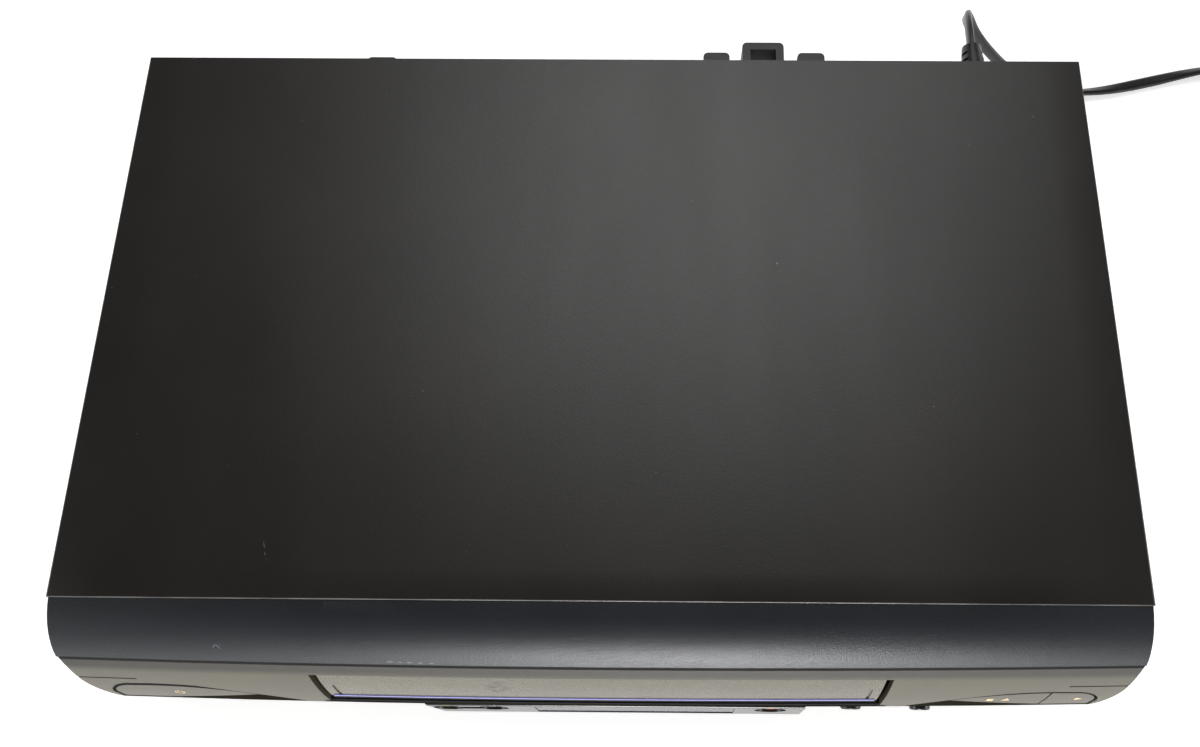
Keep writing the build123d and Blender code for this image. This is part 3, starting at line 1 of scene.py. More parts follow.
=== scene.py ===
"""Looks of a front-loading video cassette recorder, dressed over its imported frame.

Lengths are in metres in the deck's own frame: +X to the right seen from the front, +Y from the
front to the back, +Z up. The origin lies on the table, under the middle of the deck.
"""

import logging
import math
from dataclasses import dataclass
from enum import Enum
from typing import Callable, Iterable, Mapping, Union

import bmesh
import bpy
import numpy as np
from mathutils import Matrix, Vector


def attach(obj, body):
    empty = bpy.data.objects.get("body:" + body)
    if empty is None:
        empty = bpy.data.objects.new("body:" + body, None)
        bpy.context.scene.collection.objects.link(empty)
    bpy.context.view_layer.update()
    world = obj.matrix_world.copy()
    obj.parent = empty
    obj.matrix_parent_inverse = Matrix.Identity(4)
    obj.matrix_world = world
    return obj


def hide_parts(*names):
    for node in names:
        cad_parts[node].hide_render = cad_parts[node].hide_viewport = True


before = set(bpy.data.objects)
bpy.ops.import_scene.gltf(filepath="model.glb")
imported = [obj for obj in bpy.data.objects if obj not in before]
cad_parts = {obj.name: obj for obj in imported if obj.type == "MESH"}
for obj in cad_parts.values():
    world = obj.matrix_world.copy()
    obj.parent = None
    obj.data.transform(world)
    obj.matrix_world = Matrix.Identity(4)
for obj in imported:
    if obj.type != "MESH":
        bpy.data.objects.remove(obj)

LOG = logging.getLogger("recorder")
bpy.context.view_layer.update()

Pair = tuple[float, float]
Point = tuple[float, float, float]
Colour = tuple[float, float, float]
Value = Union[float, "Signal"]
Shade = Union[Colour, "Signal"]


# ---------------------------------------------------------------- shader arithmetic
def feed(tree: bpy.types.NodeTree, place: bpy.types.NodeSocket, value: object) -> None:
    """Fill one input socket.

    Args:
        tree: node tree that holds the socket's node.
        place: the input.
        value: signal to link, or plain value to set; a colour gets its alpha.
    """
    if isinstance(value, Signal):
        tree.links.new(value.socket, place)
    else:
        place.default_value = (*value, 1.0) if place.type == "RGBA" else value


def arithmetic(operation: str, swapped: bool = False) -> Callable[["Signal", Value], "Signal"]:
    """Operator method for Signal.

    Args:
        operation: Blender's name of the Math node's operation.
        swapped: take the other operand first.

    Returns:
        The method, which adds one Math node.
    """
    def method(self: "Signal", other: Value) -> "Signal":
        """Combine the signal with another or with a plain number."""
        return self.math(operation, *((other, self) if swapped else (self, other)))
    return method


class Signal:
    """One output socket that takes part in Python arithmetic; each operation adds a Math node."""

    __add__ = __radd__ = arithmetic("ADD")
    __mul__ = __rmul__ = arithmetic("MULTIPLY")
    __sub__ = arithmetic("SUBTRACT")
    __rsub__ = arithmetic("SUBTRACT", swapped=True)
    __truediv__ = arithmetic("DIVIDE")

    def __init__(self, tree: bpy.types.NodeTree, socket: bpy.types.NodeSocket) -> None:
        """Wrap an output socket of a node tree."""
        self.tree = tree
        self.socket = socket

    def __abs__(self) -> "Signal":
        """Absolute value."""
        return self.math("ABSOLUTE", self)

    def math(self, operation: str, *values: Value) -> "Signal":
        """Add one Math node.

        Args:
            operation: Blender's name of the operation.
            values: the node's inputs in order.

        Returns:
            The node's result.
        """
        node = self.tree.nodes.new("ShaderNodeMath")
        node.operation = operation
        for place, value in zip(node.inputs, values):
            feed(self.tree, place, value)
        return Signal(self.tree, node.outputs[0])

    def rise(self, low: float, high: float) -> "Signal":
        """Add a smooth step.

        Args:
            low: value at which the step is 0.
            high: value at which it is 1, which may be below low.

        Returns:
            The step.
        """
        node = self.tree.nodes.new("ShaderNodeMapRange")
        node.interpolation_type = "SMOOTHSTEP"
        ends = (low, high, 0.0, 1.0) if low < high else (high, low, 1.0, 0.0)
        for name, value in zip(("Value", "From Min", "From Max", "To Min", "To Max"), (self, *ends)):
            feed(self.tree, node.inputs[name], value)
        return Signal(self.tree, node.outputs["Result"])

    def other(self, name: str) -> "Signal":
        """Another output of the same node."""
        return Signal(self.tree, self.socket.node.outputs[name])


class Surface:
    """A material under construction, with one Principled shader."""

    def __init__(self, name: str) -> None:
        """Start an empty material.

        Args:
            name: its name.
        """
        self.material = bpy.data.materials.new(name)
        self.material.use_nodes = True
        self.tree = self.material.node_tree
        self.tree.nodes.clear()
        self.shader = self.tree.nodes.new("ShaderNodeBsdfPrincipled")
        output = self.tree.nodes.new("ShaderNodeOutputMaterial")
        self.tree.links.new(self.shader.outputs["BSDF"], output.inputs["Surface"])

    def node(
        self, kind: str, inputs: Mapping[Union[str, int], object], output: Union[str, int] = 0,
        **settings: object,
    ) -> Signal:
        """Add one node.

        Args:
            kind: Blender's type of the node.
            inputs: values, colours or signals by socket name or number.
            output: name or number of the output to read.
            settings: the node's own settings, set first.

        Returns:
            The output.
        """
        node = self.tree.nodes.new(kind)
        for name, value in settings.items():
            setattr(node, name, value)
        for name, value in inputs.items():
            feed(self.tree, node.inputs[name], value)
        return Signal(self.tree, node.outputs[output])

    def place(self, scale: Point = (1.0, 1.0, 1.0), shift: Point = (0.0, 0.0, 0.0)) -> Signal:
        """Object coordinates through a Mapping node.

        Args:
            scale: factor along each axis.
            shift: point that becomes the pattern's origin.

        Returns:
            The mapped coordinates.
        """
        coordinates = self.node("ShaderNodeTexCoord", {}, "Object")
        centred = tuple(-s * f for s, f in zip(shift, scale))
        return self.node("ShaderNodeMapping", {"Vector": coordinates, "Location": centred, "Scale": scale})

    def split(self, where: Signal) -> tuple[Signal, Signal, Signal]:
        """Three parts of a coordinate or colour."""
        x = self.node("ShaderNodeSeparateXYZ", {"Vector": where})
        return x, x.other("Y"), x.other("Z")

    def noise(self, size: float, detail: float = 2.0, scale: Point = (1.0, 1.0, 1.0)) -> Signal:
        """Noise around 0.5, with grains of a size in metres on scaled object coordinates."""
        inputs = {"Vector": self.place(scale), "Scale": 1.0 / size, "Detail": detail}
        return self.node("ShaderNodeTexNoise", inputs)

    def cells(self, size: float) -> Signal:
        """Distance to the nearest of scattered points, in cells of a size in metres."""
        inputs = {"Vector": self.place(), "Scale": 1.0 / size, "Randomness": 1.0}
        return self.node("ShaderNodeTexVoronoi", inputs, "Distance")

    def specks(self, cell: float, radius: float, share: float) -> Signal:
        """Scattered round specks.

        Args:
            cell: mean distance between two places that may hold one.
            radius: a speck's radius.
            share: share of the places that hold one.

        Returns:
            1 on a speck, 0 beside it.
        """
        near = self.cells(cell)
        chance = self.split(near.other("Color"))[0]
        return near.rise(radius / cell, radius / cell * 0.5) * chance.rise(1.0 - share, 1.0 - share + 0.01)

    def stroke(self, x: float, z: float, turn: float, half_length: float, half_width: float) -> Signal:
        """Soft-edged straight mark in the plane of X and Z.

        Args:
            x: its middle along X.
            z: its middle along Z.
            turn: its angle from X towards Z in radians.
            half_length: half its length.
            half_width: half its width.

        Returns:
            1 on the mark, 0 beside it.
        """
        x, _, z = self.split(self.place(shift=(x, 0.0, z)))
        along = abs(x * math.cos(turn) + z * math.sin(turn)).rise(half_length, half_length * 0.8)
        across = abs(z * math.cos(turn) - x * math.sin(turn)).rise(half_width, half_width * 0.3)
        return along * across

    def blend(self, factor: Value, first: Shade, second: Shade) -> Signal:
        """Colour mix, first at factor 0 and second at factor 1."""
        inputs = {0: factor, 6: first, 7: second}
        return self.node("ShaderNodeMix", inputs, 2, data_type="RGBA", clamp_factor=True)

    def bump(self, height: Signal, depth: float) -> Signal:
        """Normal from a height signal, of which 1 stands for depth in metres."""
        return self.node("ShaderNodeBump", {"Height": height, "Distance": depth, "Strength": 1.0})

    def finish(self, **sockets: object) -> bpy.types.Material:
        """Fill the shader's sockets, named with underscores for spaces, and return the material."""
        for name, value in sockets.items():
            feed(self.tree, self.shader.inputs[name.replace("_", " ")], value)
        return self.material


def times(colour: Colour, factor: float) -> Colour:
    """Colour with each part multiplied by a factor."""
    return tuple(part * factor for part in colour)


# ---------------------------------------------------------------- finishes
@dataclass(frozen=True)
class CoverPaint:
    """Matt warm black paint on the steel cover, with a fine grain, dust, one small scratch and a painted
    highlight along its front edge.
    """

    colour: Colour = (0.0064, 0.0048, 0.0034)
    worn: Colour = (0.0100, 0.0080, 0.0060)
    # dust colour, also used for the painted highlight along the front edge
    dust: Colour = (0.20, 0.19, 0.18)
    roughness: float = 0.38
    grain: float = 0.0006
    grain_depth: float = 0.00004
    scratch_at: Point = (-0.1165, -0.0786, 0.088)
    scratch_half: Pair = (0.00030, 0.0042)
    scratch_lean: float = 0.25
    edge_highlight_y: Pair = (-0.09445, -0.0948)

    def material(self, name: str) -> bpy.types.Material:
        """Build the material.

        Args:
            name: its name.

        Returns:
            The material.
        """
        made = Surface(name)
        grain = made.noise(self.grain, 3.0)
        smear = made.noise(0.03, 3.0, (1.0, 0.25, 1.0))
        x, y, _ = made.split(made.place(shift=self.scratch_at))
        waver = (made.noise(0.004, 1.0) - 0.5) * 0.0012
        thin = abs(x + y * self.scratch_lean + waver).rise(self.scratch_half[0], 0.0)
        length = abs(y).rise(self.scratch_half[1], self.scratch_half[1] * 0.4)
        scratch = thin * length * made.noise(0.0009).rise(0.42, 0.58)
        # painted highlight: a lighter band, flecked by noise, along the cover's front edge
        edge = made.split(made.place())[1].rise(*self.edge_highlight_y)
        edge_highlight = edge * (0.45 + made.noise(0.02).rise(0.35, 0.65) * 0.55)
        specks = made.specks(0.011, 0.00028, 0.30) * 0.7 + made.specks(0.035, 0.0005, 0.35) * 0.6
        base = made.blend(made.noise(0.06, 4.0).rise(0.35, 0.7), self.colour, self.worn)
        return made.finish(
            Base_Color=made.blend(specks + scratch * 0.7 + edge_highlight * 0.6, base, self.dust),
            Roughness=self.roughness + (smear - 0.5) * 0.10 + (grain - 0.5) * 0.10,
            Normal=made.bump(grain, self.grain_depth),
        )


@dataclass(frozen=True)
class FrontShell:
    """The front's one moulding: sparked charcoal nose, smoother warm face, a band of painted shade under the
    crease, a painted shadow line in the crease groove and a black sill that is black plastic darkened further
    as the painted shadow of the gap under the door.

    Each pair is the two heights, or the two half widths, between which one zone gives way to the
    next. A scuff is its x, z, angle, half length and half width.
    """

    nose: Colour = (0.0120, 0.0140, 0.0170)
    face: Colour = (0.0560, 0.0500, 0.0330)
    # painted shade: darker colour of the face just under the nose's crease
    brow_shade: Colour = (0.0200, 0.0178, 0.0120)
    # painted shadow: black for the crease groove and the gap under the door, over black plastic at the sill
    gap_shade: Colour = (0.0016, 0.0016, 0.0018)
    flake: Colour = (0.085, 0.095, 0.11)
    scuff: Colour = (0.26, 0.27, 0.30)
    below_z: Pair = (0.0757, 0.0753)
    crease_low_z: Pair = (0.0734, 0.0739)
    crease_high_z: Pair = (0.0764, 0.0760)
    brow_shade_z: Pair = (0.0655, 0.0705)
    sill_z: Pair = (0.0396, 0.0394)
    sill_half: Pair = (0.1063, 0.1060)
    grain: float = 0.00040
    grain_depth: float = 0.00012
    specular: float = 0.34
    scuffs: tuple[tuple[float, float, float, float, float], ...] = (
        (-0.0725, 0.0773, 0.04, 0.0013, 0.00016), (-0.0688, 0.0772, -0.05, 0.0009, 0.00014),
        (-0.0655, 0.0771, 0.02, 0.0011, 0.00014), (-0.0618, 0.0770, -0.03, 0.0010, 0.00013),
        (-0.0580, 0.0770, 0.10, 0.0008, 0.00010), (-0.1325, 0.0812, 0.7, 0.0009, 0.00012),
        (-0.1315, 0.0813, -0.6, 0.0010, 0.00012), (-0.1305, 0.0811, 1.3, 0.0007, 0.00010),
    )

    def material(self, name: str) -> bpy.types.Material:
        """Build the material.

        Args:
            name: its name.

        Returns:
            The material.
        """
        made = Surface(name)
        x, _, z = made.split(made.place())
        below = z.rise(*self.below_z)
        # painted shadow: black along the sill under the door and along the crease groove
        painted_gap_shade = z.rise(*self.sill_z) * abs(x).rise(*self.sill_half)
        painted_gap_shade = painted_gap_shade + z.rise(*self.crease_low_z) * z.rise(*self.crease_high_z)
        # painted shade: the face darkens just under the nose's crease
        brow_shade = z.rise(*self.brow_shade_z) * below
        grain = made.noise(self.grain, 2.5)
        cloud = made.noise(0.03, 3.0)
        flakes = made.cells(self.grain * 0.9).rise(0.30, 0.12) * made.noise(0.002).rise(0.40, 0.60)
        nose = made.blend(flakes * 0.25, self.nose, self.flake)
        nose = made.blend(cloud.rise(0.4, 0.8) * 0.3, nose, times(self.nose, 1.5))
        face = made.blend(cloud.rise(0.3, 0.75), self.face, times(self.face, 1.12))
        shade = made.blend(below, nose, made.blend(brow_shade, face, self.brow_shade))
        marks = sum((made.stroke(*scuff) for scuff in self.scuffs), 0.0)
        worn = marks * made.noise(0.0008).rise(0.35, 0.55)
        rough = 0.36 + below * 0.06 + brow_shade * 0.10 + painted_gap_shade * 0.55 + (grain - 0.5) * 0.14 + (cloud - 0.5) * 0.05
        height = grain * (1.0 - below * 0.90) * (1.0 - painted_gap_shade) + made.noise(self.grain * 0.5) * 0.08
        return made.finish(
            Base_Color=made.blend(worn * 0.75, made.blend(painted_gap_shade, shade, self.gap_shade), self.scuff),
            Roughness=rough,
            Specular_IOR_Level=self.specular,
            Normal=made.bump(height, self.grain_depth),
        )


@dataclass(frozen=True)
class DoorSkin:
    """Smooth warm face of the cassette door, with a black band of painted shadow under its coloured strip and a
    smudge.
    """

    colour: Colour = (0.0760, 0.0690, 0.0490)
    # painted shadow: black of the gap under the door, painted on the door's lowest band
    lip: Colour = (0.0016, 0.0016, 0.0018)
    smudge: Colour = (0.0260, 0.0240, 0.0190)
    lip_shade_z: Pair = (0.0460, 0.0458)
    smudge_at: Point = (-0.0375, 0.0, 0.0580)
    smudge_half: Pair = (0.0055, 0.0065)
    specular: float = 0.36

    def material(self, name: str) -> bpy.types.Material:
        """Build the material.

        Args:
            name: its name.

        Returns:
            The material.
        """
        made = Surface(name)
        # painted shadow: the door's lowest band is painted black
        on_lip_shade = made.split(made.place())[2].rise(*self.lip_shade_z)
        cloud = made.noise(0.025, 3.0)
        fine = made.noise(0.0005)
        x, _, z = made.split(made.place(shift=self.smudge_at))
        x, z = x / self.smudge_half[0], z / self.smudge_half[1]
        smudge = (x * x + z * z).rise(1.0, 0.4) * made.noise(0.0016, 3.0).rise(0.48, 0.60)
        face = made.blend(cloud.rise(0.3, 0.75), self.colour, times(self.colour, 1.12))
        return made.finish(
            Base_Color=made.blend(on_lip_shade, made.blend(smudge * 0.7, face, self.smudge), self.lip),
            Roughness=0.27 + on_lip_shade * 0.60 + smudge * 0.15 + (fine - 0.5) * 0.06 + (cloud - 0.5) * 0.05,
            Specular_IOR_Level=self.specular,
            Normal=made.bump(fine, 0.000004),
        )


@dataclass(frozen=True)
class Moulding:
    """Moulded plastic with a sparked grain."""

    colour: Colour
    roughness: float
    grain_depth: float = 0.00003
    specular: float = 0.5
    grain: float = 0.00042

    def material(self, name: str) -> bpy.types.Material:
        """Build the material.

        Args:
            name: its name.

        Returns:
            The material.
        """
        made = Surface(name)
        grain = made.noise(self.grain)
        cloud = made.noise(0.03, 3.0)
        return made.finish(
            Base_Color=made.blend(cloud.rise(0.25, 0.8) * 0.5, self.colour, times(self.colour, 1.35)),
            Roughness=self.roughness + (grain - 0.5) * 0.12 + (cloud - 0.5) * 0.06,
            Specular_IOR_Level=self.specular,
            Normal=made.bump(grain, self.grain_depth),
        )


class MetalKind(Enum):
    """Texture of a bare metal: size of its grains, their stretch along each axis and their relief."""

    PLATED = (0.0015, (1.0, 1.0, 1.0), 0.00001)
    TURNED = (0.0004, (0.08, 0.08, 1.0), 0.000012)
    BRUSHED = (0.0005, (0.05, 1.0, 1.0), 0.000015)


@dataclass(frozen=True)
class BareMetal:
    """Zinc plate with a faint spangle, turned rings or brushed lines."""

    colour: Colour
    kind: MetalKind
    roughness: float
    spangle: float = 0.006

    def material(self, name: str) -> bpy.types.Material:
        """Build the material.

        Args:
            name: its name.

        Returns:
            The material.
        """
        made = Surface(name)
        size, stretch, depth = self.kind.value
        texture = made.noise(size, 2.0, stretch)
        if self.kind is MetalKind.PLATED:
            texture = made.cells(self.spangle) * 0.6 + texture * 0.4
        tarnish = made.noise(0.02, 4.0).rise(0.35, 0.8)
        return made.finish(
            Base_Color=made.blend(tarnish * 0.7, self.colour, times(self.colour, 0.72)),
            Metallic=1.0,
            Roughness=self.roughness + (texture - 0.5) * 0.14 + tarnish * 0.08,
            Normal=made.bump(texture, depth),
        )


@dataclass(frozen=True)
class SoftRubber:
    """Rubber or vinyl with a dull, slightly dusty skin."""

    colour: Colour
    roughness: float
    dust: float = 0.018

    def material(self, name: str) -> bpy.types.Material:
        """Build the material.

        Args:
            name: its name.

        Returns:
            The material.
        """
        made = Surface(name)
        fine = made.noise(0.0006)
        dust = made.noise(0.008, 4.0).rise(0.5, 0.85)
        return made.finish(
            Base_Color=made.blend(dust * 0.6, self.colour, tuple(part + self.dust for part in self.colour)),
            Roughness=self.roughness + (fine - 0.5) * 0.15 + dust * 0.08,
            Normal=made.bump(fine, 0.00002),
        )


@dataclass(frozen=True)
class Laminate:
    """Circuit board or varnished laminations, with tracks or layers as lines."""

    colour: Colour
    track: Colour
    pitch: float = 0.0025
    stretch: Point = (1.0, 1.0, 0.1)

    def material(self, name: str) -> bpy.types.Material:
        """Build the material.

        Args:
            name: its name.

        Returns:
            The material.
        """
        made = Surface(name)
        inputs = {"Vector": made.place(self.stretch), "Scale": 1.0 / self.pitch, "Randomness": 0.85}
        cells = made.node("ShaderNodeTexVoronoi", inputs, "Distance", distance="CHEBYCHEV")
        tracks = cells.rise(0.34, 0.40)
        return made.finish(
            Base_Color=made.blend(tracks * 0.7, self.colour, self.track),
            Roughness=0.42 + (made.noise(0.0008) - 0.5) * 0.2,
            Normal=made.bump(tracks, 0.00004),
        )


@dataclass(frozen=True)
class SmokedWindow:
    """Dark clear acrylic in front of the clock display."""

    colour: Colour = (0.012, 0.010, 0.014)

    def material(self, name: str) -> bpy.types.Material:
        """Build the material.

        Args:
            name: its name.

        Returns:
            The material.
        """
        made = Surface(name)
        haze = made.noise(0.02, 3.0)
        return made.finish(
            Base_Color=made.blend(haze * 0.4, self.colour, times(self.colour, 1.6)),
            Roughness=0.06 + haze * 0.05,
            Alpha=0.72 + haze * 0.08,
            Specular_IOR_Level=0.5,
        )


@dataclass(frozen=True)
class PrintInk:
    """Thin printed ink, a little uneven."""

    colour: Colour

    def material(self, name: str) -> bpy.types.Material:
        """Build the material.

        Args:
            name: its name.

        Returns:
            The material.
        """
        made = Surface(name)
        patchy = made.noise(0.0005)
        return made.finish(
            Base_Color=made.blend(patchy.rise(0.45, 0.75), self.colour, times(self.colour, 0.7)),
            Roughness=0.5 + patchy * 0.1,
        )


@dataclass(frozen=True)
class TableTop:
    """Pale plain light table, which glows a little of its own."""

    colour: Colour = (0.92, 0.92, 0.92)
    glow: float = 0.58

    def material(self, name: str) -> bpy.types.Material:
        """Build the material.

        Args:
            name: its name.

        Returns:
            The material.
        """
        made = Surface(name)
        cloud = made.noise(0.15)
        return made.finish(
            Base_Color=made.blend(cloud * 0.3, self.colour, times(self.colour, 0.985)),
            Roughness=0.55 + (cloud - 0.5) * 0.1,
            Emission_Color=self.colour,
            Emission_Strength=self.glow,
        )


class Finish(Enum):
    """Finishes of the deck's pieces."""

    COVER = CoverPaint()
    SHELL = FrontShell()
    FRONT = Moulding((0.0520, 0.0465, 0.0310), 0.40, 0.000025, specular=0.34)
    DOOR = DoorSkin()
    # near-black matt: the black surrounds, and the painted shadows along the key recesses
    SLOT = Moulding((0.0010, 0.0010, 0.0011), 0.90, 0.000020, specular=0.15)
    BLACK = Moulding((0.006, 0.006, 0.0065), 0.48)
    GLOSS = Moulding((0.013, 0.013, 0.014), 0.22, 0.000006)
    WHITE = Moulding((0.62, 0.60, 0.55), 0.45)
    YELLOW = Moulding((0.70, 0.45, 0.03), 0.40)
    ORANGE = Moulding((0.75, 0.28, 0.10), 0.38)
    # painted highlight: bluish sheen on the door's lower edge, given as a colour
    BLUE = Moulding((0.19, 0.19, 0.48), 0.30, 0.000006)
    ZINC = BareMetal((0.55, 0.56, 0.54), MetalKind.PLATED, 0.36)
    BRIGHT = BareMetal((0.70, 0.69, 0.66), MetalKind.BRUSHED, 0.22)
    ALUMINIUM = BareMetal((0.80, 0.80, 0.80), MetalKind.TURNED, 0.24)
    BRASS = BareMetal((0.70, 0.55, 0.28), MetalKind.BRUSHED, 0.25)
    RUBBER = SoftRubber((0.010, 0.010, 0.010), 0.65)
    CORD = SoftRubber((0.006, 0.006, 0.006), 0.30)
    BOARD = Laminate((0.22, 0.15, 0.06), (0.30, 0.22, 0.09))
    IRON = Laminate((0.10, 0.09, 0.085), (0.05, 0.045, 0.04), 0.0008)
    WINDOW = SmokedWindow()
    INK = PrintInk((0.62, 0.47, 0.27))
    UNLIT = PrintInk((0.10, 0.11, 0.105))
    GLASS = Moulding((0.0035, 0.0040, 0.0042), 0.10, 0.000001)
    FLOOR = TableTop()

    def material(self) -> bpy.types.Material:
        """The finish's material, built once."""
        name = self.name.lower() + "_finish"
        return bpy.data.materials.get(name) or self.value.material(name)


# ---------------------------------------------------------------- arrays
def turn(steps: int) -> np.ndarray:
    """Angles of one whole turn, without its end."""
    return np.linspace(0.0, 2 * np.pi, steps, endpoint=False)


def wheel(angle: np.ndarray) -> np.ndarray:
    """Points (cos t, sin t) of the unit circle."""
    return np.stack((np.cos(angle), np.sin(angle)), axis=-1)


def unit(vectors: np.ndarray) -> np.ndarray:
    """Vectors brought to length 1 along the last axis."""
    return vectors / np.linalg.norm(vectors, axis=-1, keepdims=True)


def across(along: np.ndarray) -> np.ndarray:
    """Flat vectors (..., 2) turned a quarter turn to the left."""
    return np.stack((-along[..., 1], along[..., 0]), axis=-1)


def points(x: np.ndarray, y: np.ndarray, z: np.ndarray) -> np.ndarray:
    """Points (..., 3) from coordinates of any shapes that go together."""
    return np.stack(np.broadcast_arrays(x, y, z), axis=-1)


def superellipse(half: np.ndarray, power: np.ndarray, steps: int) -> np.ndarray:
    """Closed outlines |x/a|^p + |y/b|^p = 1, from signed powers of cosine and sine.

    Args:
        half: half sides (a, b), as an array (..., 2).
        power: p, as an array (...).
        steps: points round.

    Returns:
        Array (..., steps, 2).
    """
    wave = wheel(turn(steps))
    reach = np.abs(wave) ** (2.0 / np.asarray(power)[..., None, None])
    return np.sign(wave) * reach * np.asarray(half)[..., None, :]


# ---------------------------------------------------------------- meshes
class Form:
    """Vertices and faces gathered from several surfaces, made into one object at the end."""

    def __init__(self) -> None:
        """Start empty."""
        self.points: list[np.ndarray] = []
        self.faces: list[tuple[int, ...]] = []
        self.count = 0

    def grid(
        self, rows: np.ndarray, wrap_rows: bool = False, wrap_columns: bool = False,
        cap_first: bool = False, cap_last: bool = False,
    ) -> "Form":
        """Add a surface of quads between neighbouring points of a grid.

        Args:
            rows: array (rows, columns, 3).
            wrap_rows: join the last row to the first.
            wrap_columns: join the last column to the first.
            cap_first: close the first row with one face.
            cap_last: close the last row with one face.

        Returns:
            The form itself.
        """
        high, wide = rows.shape[:2]
        number = np.arange(high * wide).reshape(high, wide) + self.count
        row = np.arange(high if wrap_rows else high - 1)[:, None]
        column = np.arange(wide if wrap_columns else wide - 1)[None, :]
        row_after, column_after = (row + 1) % high, (column + 1) % wide
        corners = (
            number[row, column], number[row, column_after],
            number[row_after, column_after], number[row_after, column],
        )
        self.faces += [tuple(quad) for quad in np.stack(corners, axis=-1).reshape(-1, 4).tolist()]
        if cap_first:
            self.faces.append(tuple(number[0].tolist()))
        if cap_last:
            self.faces.append(tuple(number[-1][::-1].tolist()))
        self.points.append(rows.reshape(-1, 3))
        self.count += high * wide
        return self

    def tube(self, rows: np.ndarray) -> "Form":
        """Add a grid whose rows are rings, with both ends closed, and return the form."""
        return self.grid(rows, wrap_columns=True, cap_first=True, cap_last=True)

    def slab(self, low: Point, high: Point) -> "Form":
        """Add a box between two corners and return the form."""
        x, y = np.array((low[0], high[0], high[0], low[0])), np.array((low[1], low[1], high[1], high[1]))
        return self.tube(points(x, y, np.array((low[2], high[2]))[:, None]))

    def ring(self, profile: np.ndarray, origin: Point, axis: Point, steps: int = 48) -> "Form":
        """Add a closed profile turned round an axis.

        A point at angle t lies at r * (a cos t + b sin t) + h * axis, with a and b square to it.

        Args:
            profile: array (n, 2) of radius r and height h along the axis.
            origin: point on the axis at height 0.
            axis: its direction.
            steps: points round.

        Returns:
            The form itself.
        """
        along = np.array(Vector(axis).normalized())
        side = np.array(Vector(axis).orthogonal().normalized())
        spokes = wheel(turn(steps)) @ np.stack((side, np.cross(along, side)))
        rows = profile[:, :1, None] * spokes + profile[:, 1:, None] * along + np.array(origin)
        return self.grid(rows, wrap_rows=True, wrap_columns=True)

    def build(self, name: str, finish: Finish, smooth: bool = True, sharp: float = 35.0) -> bpy.types.Object:
        """Make the object, with its faces outwards and soft shading up to an angle.

        Args:
            name: the object's name.
            finish: its finish.
            smooth: shade smooth between faces that meet below the sharp angle.
            sharp: that angle in degrees.

        Returns:
            The new object.
        """
        mesh = bpy.data.meshes.new(name)
        mesh.from_pydata(np.concatenate(self.points).tolist(), [], self.faces)
        work = bmesh.new()
        work.from_mesh(mesh)
        bmesh.ops.remove_doubles(work, verts=work.verts, dist=1e-7)
        bmesh.ops.dissolve_degenerate(work, edges=work.edges, dist=1e-8)
        bmesh.ops.recalc_face_normals(work, faces=work.faces)
        for face in work.faces:
            face.smooth = smooth
        for edge in work.edges:
            edge.smooth = edge.calc_face_angle(0.0) < math.radians(sharp)
        work.to_mesh(mesh)
        work.free()
        mesh.materials.append(finish.material())
        made = bpy.data.objects.new(name, mesh)
        bpy.context.scene.collection.objects.link(made)
        return made


def rounded(thing: bpy.types.Object, radius: float) -> bpy.types.Object:
    """Round an object's sharp edges.

    Args:
        thing: the object.
        radius: width of the bevel.

    Returns:
        The object, with a Bevel modifier.
    """
    bevel = thing.modifiers.new("soft_edges", "BEVEL")
    bevel.width = radius
    bevel.segments = 2
    bevel.limit_method = "ANGLE"
    bevel.angle_limit = math.radians(30.0)
    bevel.harden_normals = True
    return thing


def fit(thing: bpy.types.Object, body: str, stands_for: Iterable[str] = ()) -> bpy.types.Object:
    """Tie a piece to its body and to what it stands for.

    Args:
        thing: the piece.
        body: body that it rides on.
        stands_for: CAD nodes that it replaces.

    Returns:
        The piece.
    """
    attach(thing, body)
    names = list(stands_for)
    if names:
        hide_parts(*names)
    LOG.info("piece %s on %s%s", thing.name, body, f" for {', '.join(names)}" if names else "")
    return thing


# ---------------------------------------------------------------- studio
@dataclass(frozen=True)
class Lamp:
    """Soft rectangular light that faces the deck, with its sides and its power in watts."""

    name: str
    place: Point
    wide: float
    tall: float
    power: float

    def hang(self) -> None:
        """Add the light, unseen by the camera."""
        data = bpy.data.lights.new(self.name, "AREA")
        data.shape = "RECTANGLE"
        data.size, data.size_y = self.wide, self.tall
        data.energy = self.power
        made = bpy.data.objects.new(self.name, data)
        made.location = self.place
        made.rotation_euler = (-Vector(self.place)).to_track_quat("-Z", "Y").to_euler()
        made.visible_camera = False
        bpy.context.scene.collection.objects.link(made)


